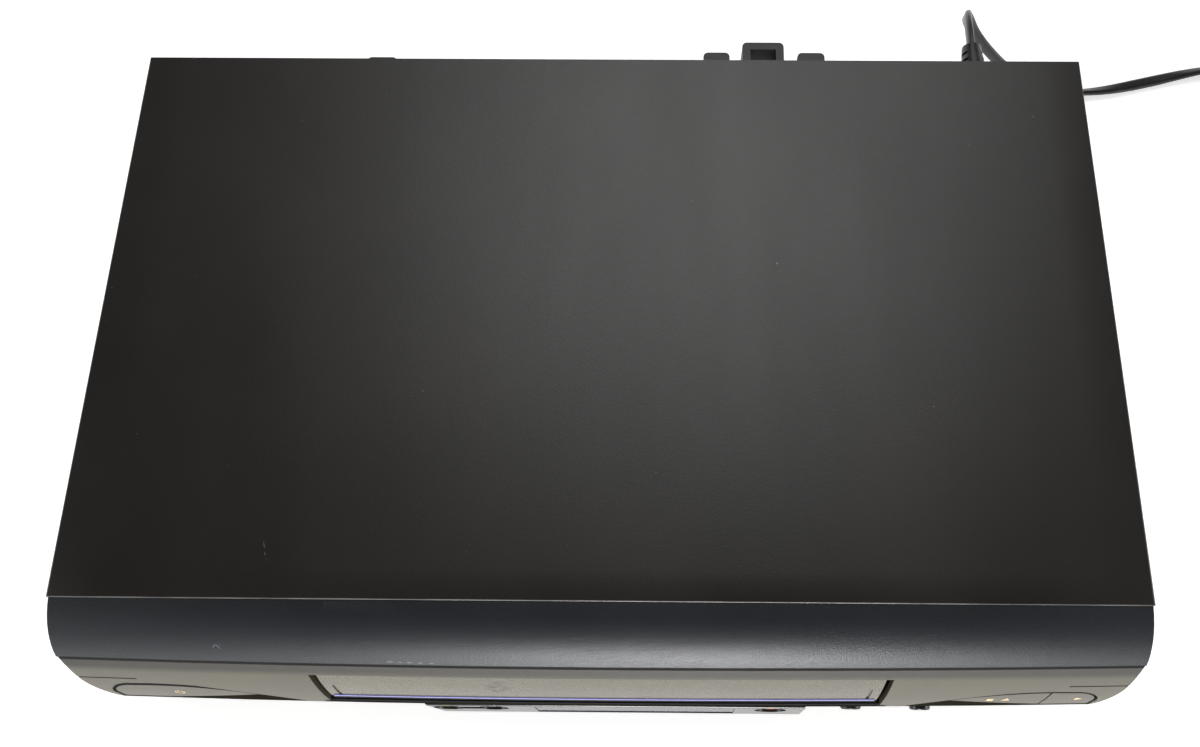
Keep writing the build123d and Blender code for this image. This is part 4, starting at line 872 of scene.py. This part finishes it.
@dataclass
class Studio:
    """Camera, pale floor and soft light."""

    camera_at: Point = (0.02344, -0.11108, 0.43182)
    camera_turn: Point = (0.31, 0.004, 0.0081)
    focal_length: float = 29.22
    shift: Pair = (-0.0524, -0.0283)
    sensor: float = 36.0
    sky: float = 0.08
    lamps: tuple[Lamp, ...] = (
        Lamp("back_light", (0.09, 0.72, 1.42), 1.0, 1.0, 10.5),
        Lamp("front_light", (0.06, -1.05, 0.13), 0.40, 0.24, 12.0),
        Lamp("side_light_0", (-1.5, -0.5, 0.50), 0.8, 0.8, 6.0),
        Lamp("side_light_1", (1.5, -0.3, 0.50), 0.8, 0.8, 7.0),
    )
    floor_radius: float = 2.2
    rim_radius: float = 3.6
    rim_height: float = 1.6

    def camera(self) -> None:
        """Place the camera that looks down on the deck from its front."""
        data = bpy.data.cameras.new("camera")
        data.sensor_width = self.sensor
        data.lens = self.focal_length
        data.shift_x, data.shift_y = self.shift
        data.clip_start = 0.01
        made = bpy.data.objects.new("camera", data)
        made.location = self.camera_at
        made.rotation_euler = self.camera_turn
        bpy.context.scene.collection.objects.link(made)
        bpy.context.scene.camera = made

    def floor(self) -> None:
        """Lay the floor as a shallow dish.

        Its profile is level out to floor_radius, then a quarter of an ellipse up to the rim.
        """
        bend = np.linspace(0.0, np.pi / 2, 17)
        radius = self.floor_radius + (self.rim_radius - self.floor_radius) * np.sin(bend)
        radius = np.concatenate(((0.001, 1.0), radius))[:, None]
        height = np.concatenate(((0.0, 0.0), self.rim_height * (1.0 - np.cos(bend))))[:, None]
        ring = turn(96)
        rows = points(radius * np.cos(ring), radius * np.sin(ring), height)
        made = Form().grid(rows, wrap_columns=True, cap_first=True).build("floor", Finish.FLOOR, sharp=80.0)
        if made.data.polygons[0].normal.z < 0:
            made.data.flip_normals()

    def build(self) -> None:
        """Build the camera, the floor, a faint even sky and the lights."""
        self.camera()
        self.floor()
        world = bpy.data.worlds.new("sky")
        world.use_nodes = True
        background = world.node_tree.nodes["Background"].inputs
        background["Color"].default_value = (1.0, 1.0, 1.0, 1.0)
        background["Strength"].default_value = self.sky
        bpy.context.scene.world = world
        for lamp in self.lamps:
            lamp.hang()
        bpy.context.scene.view_settings.view_transform = "Standard"


# ---------------------------------------------------------------- mains lead
@dataclass
class MainsLead:
    """Flat twin cord, its coil's tie and its two-pin plug with a ribbed grip."""

    route: tuple[Point, ...] = (
        (0.1535, 0.139, 0.068), (0.1535, 0.149, 0.068), (0.1548, 0.1591, 0.0633),
        (0.158, 0.1652, 0.0541), (0.1655, 0.1658, 0.040), (0.183, 0.1615, 0.022),
        (0.201, 0.1584, 0.0093), (0.2205, 0.1574, 0.0032), (0.240, 0.159, 0.0024),
        (0.262, 0.1638, 0.0024), (0.290, 0.171, 0.0029), (0.314, 0.174, 0.0032),
        (0.342, 0.1735, 0.0040),
    )
    half_width: float = 0.0028
    half_thick: float = 0.0015
    groove: float = 0.12
    coil_centre: Pair = (0.352, 0.1377)
    coil_radius: float = 0.031
    layer_heights: tuple[float, ...] = (0.0032, 0.0086, 0.0138)
    layer_turns: tuple[float, ...] = (3.0, 3.0, 2.25)
    layer_ease: float = 0.15
    lay_half: float = 0.0048
    lay_step: float = 0.0032
    wander: float = 0.0005
    points_per_turn: int = 16
    flat_run: tuple[float, ...] = (0.100, 0.150, 0.165, 0.220)
    plug_at: Point = (0.3806, 0.1117, 0.008)
    plug_tail: float = 0.020
    plug_body: float = 0.024
    plug_half: Pair = (0.012, 0.008)
    tail_radius: float = 0.0038
    plug_power: Pair = (2.0, 4.5)
    grip_ridges: int = 5
    grip_share: float = 0.8
    grip_swell: float = 0.0006
    nose_pull: float = 0.0014
    blade: Point = (0.00075, 0.016, 0.0032)
    blade_half_gap: float = 0.00635
    tie_turn: float = 205.0
    tie_middle_z: float = 0.0085
    tie_half: Point = (0.0078, 0.0083, 0.0028)
    tie_thick: float = 0.0004
    tie_power: float = 2.6

    def coil_points(self) -> np.ndarray:
        """Turns of the coil, clockwise from its far side: at turn t the angle is 90 - 360 t degrees.

        In each layer the radius moves in and out by one cord's thickness a turn, and the height
        rises smoothly from one layer to the next.

        Returns:
            Array (n, 3).
        """
        turns = sum(self.layer_turns)
        t = np.arange(1, int(turns * self.points_per_turn) + 1) / self.points_per_turn
        ends = np.cumsum((0.0, *self.layer_turns))
        last = self.lay_half - self.lay_step * self.layer_turns[2]
        offset = np.interp(t, ends, (self.lay_half, -self.lay_half, self.lay_half, last))
        knots = (0.0, *(ends[1:-1, None] + (-self.layer_ease, self.layer_ease)).ravel(), turns)
        height = np.interp(t, knots, np.repeat(self.layer_heights, 2))
        wander = self.wander * np.sin(2.3 * t * 2 * np.pi / 3.0 + 0.7)
        spokes = wheel(np.pi / 2 - 2 * np.pi * t) * (self.coil_radius + offset + wander)[:, None]
        return np.column_stack((spokes + self.coil_centre, height))

    def tail_points(self) -> np.ndarray:
        """Last stretch, straight from the coil down into the plug.

        Returns:
            Array (4, 3).
        """
        top = self.layer_heights[-1] - self.plug_at[2]
        down = ((0.0, 0.017, top), (0.0, 0.008, top - 0.0022), (0.0, 0.0, 0.0012), (0.0, -0.006, 0.0))
        return np.array(self.plug_at) + down

    def centreline(self) -> np.ndarray:
        """Points read from the cord's own NURBS spline.

        Returns:
            Array (n, 3).
        """
        knots = np.concatenate((self.route, self.coil_points(), self.tail_points()))
        curve = bpy.data.curves.new("cord_line", "CURVE")
        curve.dimensions = "3D"
        spline = curve.splines.new("NURBS")
        spline.points.add(len(knots) - 1)
        spline.points.foreach_set("co", np.column_stack((knots, np.ones(len(knots)))).ravel())
        spline.order_u = 3
        spline.use_endpoint_u = True
        spline.resolution_u = 4
        line = bpy.data.objects.new("cord_line", curve)
        mesh = bpy.data.meshes.new_from_object(line)
        found = np.zeros(len(mesh.vertices) * 3)
        mesh.vertices.foreach_get("co", found)
        bpy.data.objects.remove(line)
        bpy.data.meshes.remove(mesh)
        return found.reshape(-1, 3)

    def tube(self, line: np.ndarray) -> np.ndarray:
        """Carry the twin cord's section along a line, its broad side turned from upright to flat and back.

        The section is an oval (a c, b sin t (1 - g exp(-(c / 0.22)^2))), where c is the cosine to
        the power 0.7 with its sign, so it dips between the two cores. A ring is the line plus
        across * broad + through * thin, where broad turns about the line by the twist, which eases
        from 0 to 90 degrees and back over the lengths in flat_run.

        Args:
            line: array (n, 3) of the cord's middle.

        Returns:
            Array (n, points round, 3).
        """
        angle = turn(20)
        core = np.sign(np.cos(angle)) * np.abs(np.cos(angle)) ** 0.7
        dip = 1.0 - self.groove * np.exp(-((core / 0.22) ** 2))
        wide, deep = (core * self.half_width)[:, None], (np.sin(angle) * self.half_thick * dip)[:, None]
        along = unit(np.gradient(line, axis=0))
        up = unit(np.array((0.0, 0.0, 1.0)) - along[:, 2:3] * along)
        run = np.concatenate(((0.0,), np.cumsum(np.linalg.norm(np.diff(line, axis=0), axis=1))))
        twist = np.interp(run, self.flat_run, (0.0, np.pi / 2, np.pi / 2, 0.0))[:, None]
        broad = np.cos(twist) * up + np.sin(twist) * np.cross(along, up)
        return line[:, None] + wide * broad[:, None] + deep * np.cross(along, broad)[:, None]

    def plug(self) -> list[bpy.types.Object]:
        """Moulded plug and its blades.

        The moulding's section at length u is a superellipse. Its half sides ease from the round
        tail's radius to the body's over the tail, swell by a rib |sin| along the grip and pull in
        by a parabola over the last twentieth; its power grows over the tail.

        Returns:
            The moulding and the blades.
        """
        x, y, z = self.plug_at
        length = self.plug_tail + self.plug_body
        run = np.append(np.linspace(0.0, self.plug_tail, 14), np.linspace(self.plug_tail, length, 90)[1:])
        tail = np.clip(run / self.plug_tail, 0.0, 1.0)
        ease = tail**2 * (3.0 - 2.0 * tail)
        body = np.clip((run - self.plug_tail) / self.plug_body, 0.0, 1.0)
        rib = np.sin(np.pi * self.grip_ridges * body / self.grip_share) ** 2 * (body < self.grip_share)
        pull = self.nose_pull * np.clip((body - 0.94) / 0.06, 0.0, 1.0) ** 2
        skin = self.grip_swell * (rib - ease) - pull
        half = self.tail_radius + np.outer(ease, np.array(self.plug_half) - self.tail_radius) + skin[:, None]
        outline = superellipse(half, np.interp(ease, (0.0, 1.0), self.plug_power), 40)
        moulding = Form().tube(points(x + outline[..., 0], (y - run)[:, None], z + outline[..., 1]))
        front = y - length
        thick, reach, tall = self.blade
        blade_y = front - np.array((reach - 0.0012, -0.0002, -0.0002, reach - 0.0012, reach, reach))
        blade_z = z + tall * np.array((-1.0, -1.0, 1.0, 1.0, 0.6, -0.6))
        blades = Form()
        for middle in (x - self.blade_half_gap, x + self.blade_half_gap):
            blades.tube(points(middle + np.array((-thick, thick))[:, None], blade_y, blade_z))
        return [moulding.build("plug_moulding", Finish.CORD), blades.build("plug_blades", Finish.BRASS)]

    def tie(self) -> bpy.types.Object:
        """Flat tie round the coil's bundle.

        Its four rows are one superellipse in the plane of the bundle's section, larger outside
        than inside, moved along the coil by half the tie's width to each side.

        Returns:
            The tie.
        """
        radial = np.append(wheel(math.radians(self.tie_turn)), 0.0)
        middle = np.append(self.coil_centre, self.tie_middle_z) + radial * self.coil_radius
        *half, shift = self.tie_half
        outside = superellipse(half, self.tie_power, 40)
        inside = superellipse(np.array(half) - self.tie_thick, self.tie_power, 40)
        outlines = np.stack((outside, outside, inside, inside))
        shifts = np.array((-shift, shift, shift, -shift))[:, None, None]
        rows = middle + outlines[..., :1] * radial + outlines[..., 1:] * np.array((0.0, 0.0, 1.0))
        rows = rows + shifts * np.append(across(radial[:2]), 0.0)
        return Form().grid(rows, wrap_rows=True, wrap_columns=True).build("cord_tie", Finish.BLACK)

    def build(self) -> None:
        line = self.centreline()
        cord = Form().tube(self.tube(line)).build("mains_lead", Finish.CORD)
        fit(cord, "deck", ("mains_cord", "mains_cord_coil"))
        pieces = self.plug()
        for piece in pieces:
            fit(piece, "deck", ("mains_plug",))
        tie = fit(self.tie(), "deck")


# ---------------------------------------------------------------- cover
@dataclass
class CoverSheet:
    """Bent steel cover with a rolled front edge, its rear lip and its cross-recessed screws."""

    half_width: float = 0.190
    top: float = 0.088
    foot: float = 0.0062
    front: float = -0.095
    back: float = 0.119
    sheet: float = 0.0008
    bend: float = 0.001
    lip: float = 0.009
    screw_x: tuple[float, ...] = (-0.168, 0.0, 0.168)
    screw_z: float = 0.0835
    head_radius: float = 0.0032
    head_height: float = 0.0018
    recess_half: float = 0.00045
    recess_depth: float = 0.0011
    recess_fade: Pair = (0.00015, 0.0003)

    def contour(self, inset: np.ndarray) -> np.ndarray:
        """U-shaped line of the sheet seen from the front.

        It runs up the left side, round a quarter circle of radius bend - inset, along the top and
        down the other side.

        Args:
            inset: distances by which the line is set in.

        Returns:
            Array (points, insets, 2) of x and z.
        """
        middle_x, middle_z = self.half_width - self.bend, self.top - self.bend
        bend = wheel(np.linspace(np.pi, np.pi / 2, 7))[:, None] * (self.bend - inset)[:, None]
        bend = bend + (-middle_x, middle_z)
        rise = np.linspace(self.foot, middle_z, 5)[:-1, None]
        side = np.stack(np.broadcast_arrays(inset - self.half_width, rise), axis=-1)
        level = np.linspace(-middle_x, middle_x, 25)[1:-1, None]
        flat = np.stack(np.broadcast_arrays(level, self.top - inset), axis=-1)
        left = np.concatenate((side, bend))
        return np.concatenate((left, flat, left[::-1] * (-1.0, 1.0)))

    def sheet_form(self) -> Form:
        """Sheet as its U-shaped line carried round a closed loop of stations (y, inset).

        The loop runs back along the outside, forward along the inside and round a half circle of
        half the sheet's thickness at the front edge.

        Returns:
            The sheet.
        """
        half = self.sheet / 2
        roll = np.linspace(np.pi, 0.0, 9)
        ends = (self.front + half + 0.01, 0.0, self.back)
        y = np.concatenate((ends, ends[::-1], self.front + half - half * np.sin(roll)))
        inset = np.concatenate((np.repeat((0.0, self.sheet), 3), half - half * np.cos(roll)))
        line = self.contour(inset)
        inner = self.half_width - self.sheet
        return Form().tube(points(line[..., 0], y, line[..., 1])).slab(
            (-inner, self.back - self.sheet, self.top - self.lip), (inner, self.back, self.top - self.sheet),
        )

    def screw_form(self) -> Form:
        """Domed heads with a cross recess on a polar grid of radius r and angle t.

        Height is h * sqrt(1 - 0.75 (r/R)^2) less the recess, which is full depth where
        min(|x|, |z|) is under its half width and r is inside 0.62 R, and fades over recess_fade.

        Returns:
            The heads.
        """
        form = Form()
        radius = np.concatenate((np.linspace(0.0, 0.97, 26), (1.0, 1.0)))[:, None] * self.head_radius
        x, z = np.moveaxis(radius[..., None] * wheel(turn(72) + 0.4), -1, 0)
        dome = self.head_height * np.sqrt(1.0 - 0.75 * (radius / self.head_radius) ** 2)
        narrow = np.minimum(np.abs(x), np.abs(z))
        cross = np.clip((self.recess_half - narrow) / self.recess_fade[0] + 1.0, 0.0, 1.0)
        inside = np.clip((0.62 * self.head_radius - radius) / self.recess_fade[1], 0.0, 1.0)
        height = dome - self.recess_depth * cross * inside
        height[-1] = 0.0
        for middle in self.screw_x:
            head = points(middle + x, self.back + height, self.screw_z + z)
            form.grid(head, wrap_columns=True, cap_last=True)
        return form

    def build(self) -> None:
        """Build the cover and its screws."""
        cover = self.sheet_form().build("cover_sheet", Finish.COVER, sharp=50.0)
        fit(cover, "deck", ("top_cover",))
        screws = self.screw_form().build("cover_screw_heads", Finish.BRIGHT)
        fit(screws, "deck", ("cover_screws",))


# ---------------------------------------------------------------- what lies on the front
@dataclass(frozen=True)
class FrontSkin:
    """Outer surface of the moulded front, turned about a far upright axis behind it."""

    front_y: float = -0.095
    bow_radius: float = 8.0
    top_z: float = 0.0751
    split_z: float = 0.036
    foot_z: float = 0.0062
    top_reach: float = 0.0217
    split_reach: float = 0.036
    foot_reach: float = 0.035
    crown: float = 0.0016

    def y(self, x: np.ndarray, z: np.ndarray) -> np.ndarray:
        """Y at (x, z): F + R - sqrt((R + reach(z))^2 - x^2).

        The reach runs straight from top to parting line plus a parabola of height crown / cos(tilt),
        and straight from the parting line to the foot.

        Args:
            x: places along X.
            z: heights.

        Returns:
            The surface's places along Y.
        """
        tall, out = self.top_z - self.split_z, self.split_reach - self.top_reach
        down = (self.top_z - z) / tall
        rise = 4.0 * self.crown / math.cos(math.atan(out / tall))
        face = self.top_reach + out * down + rise * down * (1.0 - down)
        low = (z - self.foot_z) / (self.split_z - self.foot_z)
        panel = self.foot_reach + (self.split_reach - self.foot_reach) * low
        reach = np.where(z >= self.split_z, face, panel)
        return self.front_y + self.bow_radius - np.sqrt((self.bow_radius + reach) ** 2 - x**2)


@dataclass
class Legends:
    """Plain symbols for the keys in thin ink, each lying on the surface that it marks."""

    skin: FrontSkin = FrontSkin()
    key_set: float = 0.0002
    ink: Pair = (-0.00003, 0.00005)
    line: float = 0.00045
    key_z: float = 0.0458
    panel_z: float = 0.0318
    power_x: float = -0.1584
    power_radius: float = 0.0016
    power_bar: Pair = (0.0006, 0.0023)
    stop_x: float = 0.1435
    stop_half: float = 0.0012
    eject_x: float = 0.1495
    eject_half: float = 0.0016
    eject_up: float = 0.0003
    eject_bar: Pair = (0.0015, -0.0012)
    play_x: float = 0.1760
    play_half: float = 0.0018
    winding_x: Pair = (0.0955, 0.1225)
    winding_half: float = 0.0013
    winding_shift: float = 0.0011

    def sheet(self, outlines: Iterable[np.ndarray], set_in: float) -> Form:
        """Flat symbols, each its outline on the front's surface from one end of ink to the other.

        Args:
            outlines: arrays (n, 2) of x and z.
            set_in: how far the marked surface lies behind the front's.

        Returns:
            The symbols.
        """
        form = Form()
        for x, z in (outline.T for outline in outlines):
            form.tube(points(x, self.skin.y(x, z) + set_in + np.array(self.ink)[:, None], z))
        return form

    @staticmethod
    def triangle(x: float, z: float, half: float, towards: float) -> np.ndarray:
        """Triangle with one corner towards an angle: points half * (cos, sin) every third turn."""
        return wheel(towards + turn(3)) * half + (x, z)

    def bar(self, start: Pair, end: Pair) -> np.ndarray:
        """Rectangle of one line's width.

        Args:
            start: middle of one end.
            end: middle of the other.

        Returns:
            Its corners.
        """
        first, last = np.array(start), np.array(end)
        aside = across(unit(last - first)) * self.line / 2
        return np.array((first - aside, last - aside, last + aside, first + aside))

    def power(self) -> Form:
        """Open ring with a bar through its gap.

        Returns:
            The symbol.
        """
        wave = wheel(np.radians(np.linspace(125.0, 415.0, 30)))
        radius, half = self.power_radius, self.line / 2
        ring = np.concatenate((wave * (radius + half), wave[::-1] * (radius - half)))
        low, high = self.power_bar
        bar = self.bar((self.power_x, self.key_z + low), (self.power_x, self.key_z + high))
        return self.sheet((ring + (self.power_x, self.key_z), bar), self.key_set)

    def eject(self) -> Form:
        """Square for stop, and a triangle over a bar for eject.

        Returns:
            The symbols.
        """
        square = np.array(((-1, -1), (1, -1), (1, 1), (-1, 1))) * self.stop_half + (self.stop_x, self.key_z)
        triangle = self.triangle(self.eject_x, self.key_z + self.eject_up, self.eject_half, math.pi / 2)
        half, level = self.eject_bar[0], self.key_z + self.eject_bar[1]
        bar = self.bar((self.eject_x - half, level), (self.eject_x + half, level))
        return self.sheet((square, triangle, bar), self.key_set)

    def winding(self) -> Form:
        """Double triangles over the two winding keys.

        Returns:
            The symbols.
        """
        shifts = (-self.winding_shift, self.winding_shift)
        places = [(x + shift, way) for x, way in zip(self.winding_x, (math.pi, 0.0)) for shift in shifts]
        return self.sheet((self.triangle(x, self.panel_z, self.winding_half, way) for x, way in places), 0.0)

    def build(self) -> None:
        """Build the symbols, each riding on its key; play's is a triangle that points right."""
        play = self.sheet([self.triangle(self.play_x, self.key_z, self.play_half, 0.0)], self.key_set)
        places = (
            ("power_symbol", self.power(), "power_key"), ("eject_symbols", self.eject(), "stop_eject_key"),
            ("play_symbol", play, "play_key"), ("winding_symbols", self.winding(), "deck"),
        )
        for name, form, body in places:
            fit(form.build(name, Finish.INK, smooth=False), body)


@dataclass
class SlotShadows:
    """Black ribbons of painted shadow along the upper edges of the two leaf-shaped key recesses."""

    skin: FrontSkin = FrontSkin()
    tip: Pair = (0.1120, 0.036)
    middle: Pair = (0.1420, 0.05148)
    crown: Pair = (0.172, 0.054)
    shoulder: Pair = (0.1805, 0.051)
    end: Pair = (0.1835, 0.043)
    narrow: float = 0.00010
    wide: Pair = (0.0018, 0.0008)
    eases: tuple[float, ...] = (0.136, 0.150, 0.174, 0.1815)
    proud: float = 0.00003
    sunk: float = 0.0001

    @staticmethod
    def arc(corners: tuple[Pair, Pair, Pair], steps: int) -> np.ndarray:
        """Circle through three points: its centre is as far from the first as from the other two.

        Args:
            corners: start, a point between and end.
            steps: points along it.

        Returns:
            Array (steps, 2).
        """
        ends = np.array(corners)
        squares = (ends**2).sum(axis=1)
        centre = np.linalg.solve(2.0 * (ends[1:] - ends[0]), squares[1:] - squares[0])
        spokes = ends - centre
        angle = np.unwrap(np.arctan2(spokes[:, 1], spokes[:, 0]))
        return centre + np.linalg.norm(spokes[0]) * wheel(np.linspace(angle[0], angle[2], steps))

    def rim(self, side: int, wide: float) -> Form:
        """Ribbon of painted shadow that follows the recess's edge outside it.

        Its width eases from narrow to wide and back over the four places in eases along X.

        Args:
            side: -1 for the left recess, 1 for the right one.
            wide: its greatest width.

        Returns:
            The ribbon.
        """
        upper = self.arc((self.tip, self.middle, self.crown), 48)
        line = np.concatenate((upper, self.arc((self.crown, self.shoulder, self.end), 24)[1:]))
        width = self.narrow + (wide - self.narrow) * np.interp(line[:, 0], self.eases, (0.0, 1.0, 1.0, 0.0))
        outside = line + across(unit(np.gradient(line, axis=0))) * width[:, None]
        x, z = np.moveaxis(np.stack((line, outside, outside, line), axis=1), -1, 0)
        depth = np.array((-self.proud, -self.proud, self.sunk, self.sunk))
        return Form().tube(points(side * x, self.skin.y(x, z) + depth, z))

    def build(self) -> None:
        """Build both ribbons of painted shadow; the left one is the wider."""
        for name, side, wide in (("left_slot_rim", -1, self.wide[0]), ("right_slot_rim", 1, self.wide[1])):
            fit(self.rim(side, wide).build(name, Finish.SLOT, smooth=False), "deck")


@dataclass
class ClockDisplay:
    """Glass display tube behind the smoked window, with four unlit digits."""

    left: float = -0.021
    right: float = 0.043
    low: float = 0.0135
    high: float = 0.0262
    front: float = -0.1222
    back: float = -0.1171
    corner: float = 0.0005
    ink: Pair = (-0.00004, 0.00005)
    digit_x: tuple[float, ...] = (-0.002, 0.0055, 0.0165, 0.024)
    digit_half: Pair = (0.0021, 0.0034)
    colon_x: float = 0.0110
    colon_half: float = 0.0014
    stroke: float = 0.0007
    lean: float = 0.10

    def segments(self) -> Form:
        """Seven leaning six-sided bars for each digit, and two dots between the pairs.

        Returns:
            The digits.
        """
        wide, tall = self.digit_half
        gap, half = self.stroke * 0.25, self.stroke / 2
        bars = [(-wide + gap, z, wide - gap, z) for z in (-tall, 0.0, tall)]
        bars += [(x, z + gap, x, z + tall - gap) for x in (-wide, wide) for z in (-tall, 0.0)]
        spans = [(place + x0, z0, place + x1, z1) for place in self.digit_x for x0, z0, x1, z1 in bars]
        spans += [(self.colon_x - half, z, self.colon_x + half, z) for z in (-self.colon_half, self.colon_half)]
        form = Form()
        for first, last in np.array(spans).reshape(-1, 2, 2):
            first, last = first + (self.lean * first[1], 0.0), last + (self.lean * last[1], 0.0)
            ease = unit(last - first) * half
            aside = across(ease)
            near, far = first + ease, last - ease
            x, z = np.array((first, near - aside, far - aside, last, far + aside, near + aside)).T
            form.tube(points(x, self.front + np.array(self.ink)[:, None], z + (self.low + self.high) / 2))
        return form

    def build(self) -> None:
        """Build the tube and its digits."""
        tube = Form().slab((self.left, self.front, self.low), (self.right, self.back, self.high))
        fit(rounded(tube.build("display_tube", Finish.GLASS), self.corner), "deck")
        fit(self.segments().build("display_digits", Finish.UNLIT, smooth=False), "deck")


# ---------------------------------------------------------------- sockets
@dataclass
class SocketTrim:
    """Coloured insulators and bright sleeves of the phono jacks, and threads of the aerial sockets.

    A profile is (radius, height) from the jack's mouth outwards.
    """

    rear_y: float = 0.119
    jack_length: float = 0.006
    rear_x: Pair = (-0.096, -0.076)
    rear_z: Pair = (0.030, 0.050)
    front_x: Pair = (-0.062, -0.0445)
    front_z: float = 0.024
    front_mouth: float = -0.1318
    aerial_x: float = -0.152
    aerial_z: Pair = (0.034, 0.056)
    aerial_length: float = 0.009
    thread_radius: float = 0.00472
    thread_height: float = 0.00014
    thread_root: float = 0.00470
    thread_margin: float = 0.0006
    thread_ridges: float = 11.0
    sleeve: tuple[Pair, ...] = (
        (0.00418, -0.0058), (0.00432, -0.0058), (0.00432, -0.0003), (0.00410, 0.00005),
        (0.00345, 0.00005), (0.00335, -0.0001), (0.00418, -0.0001),
    )
    disc: tuple[Pair, ...] = (
        (0.0016, -0.0004), (0.0016, 0.00002), (0.0024, 0.00012), (0.0034, 0.00014), (0.0036, 0.0),
        (0.0036, -0.0004),
    )

    def rings(self, name: str, finish: Finish, profile: np.ndarray, places: Iterable[Point],
              outward: float = 1.0) -> None:
        """Build one piece of equal rings.

        Args:
            name: the piece's name.
            finish: its finish.
            profile: array (n, 2) of radius and height.
            places: middles of the rings at height 0.
            outward: 1 for rings that face back, -1 for the front.
        """
        form = Form()
        for place in places:
            form.ring(np.array(profile), place, (0.0, outward, 0.0))
        fit(form.build(name, finish), "deck")

    def build(self) -> None:
        """Build the sleeves, the coloured discs and the threads.

        A thread's radius is r + h |sin| of one half turn for each of its ridges along the barrel.
        """
        mouth = self.rear_y + self.jack_length
        columns = [[(x, mouth, z) for z in self.rear_z] for x in self.rear_x]
        self.rings("jack_sleeves", Finish.BRIGHT, self.sleeve, columns[0] + columns[1])
        front = [[(x, self.front_mouth, self.front_z)] for x in self.front_x]
        for name, finish, places, outward in (
            ("picture_jack_discs", Finish.YELLOW, columns[0], 1.0),
            ("sound_jack_discs", Finish.WHITE, columns[1], 1.0),
            ("front_picture_disc", Finish.YELLOW, front[0], -1.0),
            ("front_sound_disc", Finish.WHITE, front[1], -1.0),
        ):
            self.rings(name, finish, self.disc, places, outward)
        run = np.linspace(self.thread_margin, self.aerial_length - self.thread_margin, 97)
        wave = np.abs(np.sin(np.linspace(0.0, self.thread_ridges, 97) * np.pi))
        root = ((self.thread_root, run[-1]), (self.thread_root, run[0]))
        thread = np.concatenate((np.column_stack((self.thread_radius + self.thread_height * wave, run)), root))
        places = [(self.aerial_x, self.rear_y, z) for z in self.aerial_z]
        self.rings("aerial_threads", Finish.BRIGHT, thread, places)


# ---------------------------------------------------------------- CAD pieces that keep their shape
NODE_FINISHES: dict[Finish, tuple[str, ...]] = {
    Finish.SHELL: ("front_bezel",),
    Finish.FRONT: ("front_lower_panel", "power_key", "stop_eject_key", "play_key"),
    Finish.DOOR: ("cassette_door",),
    # the door trim's blue is a painted highlight on the door's lower edge
    Finish.BLUE: ("door_trim",),
    Finish.GLOSS: ("console_panel", "rewind_button", "fast_forward_button"),
    Finish.ORANGE: ("record_button",),
    Finish.WINDOW: ("display_window",),
    Finish.SLOT: ("key_surrounds", "door_surround"),
    Finish.BLACK: ("rear_standoffs", "cord_hook", "tact_switches", "rear_av_jacks"),
    Finish.ZINC: (
        "base_tray", "rear_panel", "cassette_carrier", "slide_frame", "side_frames", "mechanism_chassis",
        "idler_arm", "pinch_arm", "tension_arm",
    ),
    Finish.BRIGHT: (
        "front_jacks", "tuner_module", "drum_rotor", "capstan_rotor", "supply_guide",
        "take_up_guide", "full_erase_head", "audio_control_head", "loading_motor",
    ),
    Finish.ALUMINIUM: ("lower_drum", "upper_drum"),
    Finish.RUBBER: ("feet", "drive_belt", "loading_belt", "idler_wheel", "pinch_roller"),
    Finish.CORD: ("cord_strain_relief",),
    Finish.BOARD: ("front_board", "main_board", "power_supply", "drum_stator", "capstan_stator"),
    Finish.IRON: ("transformer",),
    Finish.WHITE: ("clutch_pulley", "supply_reel", "take_up_reel", "cam_gear", "motor_pulley"),
}


def dress_nodes() -> None:
    """Give every kept CAD node its finish."""
    for finish, nodes in NODE_FINISHES.items():
        for node in nodes:
            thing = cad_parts[node]
            if not thing.material_slots:
                thing.data.materials.append(finish.material())
            for place in thing.material_slots:
                place.material = finish.material()
            LOG.info("node %s: %s", node, finish.name)


def main() -> None:
    """Build the studio, the lead and every dressed piece."""
    logging.basicConfig(level=logging.INFO, format="%(message)s")
    for part in (Studio(), MainsLead(), CoverSheet(), Legends(), SlotShadows(), ClockDisplay(), SocketTrim()):
        part.build()
    dress_nodes()


if __name__ == "__main__":
    main()
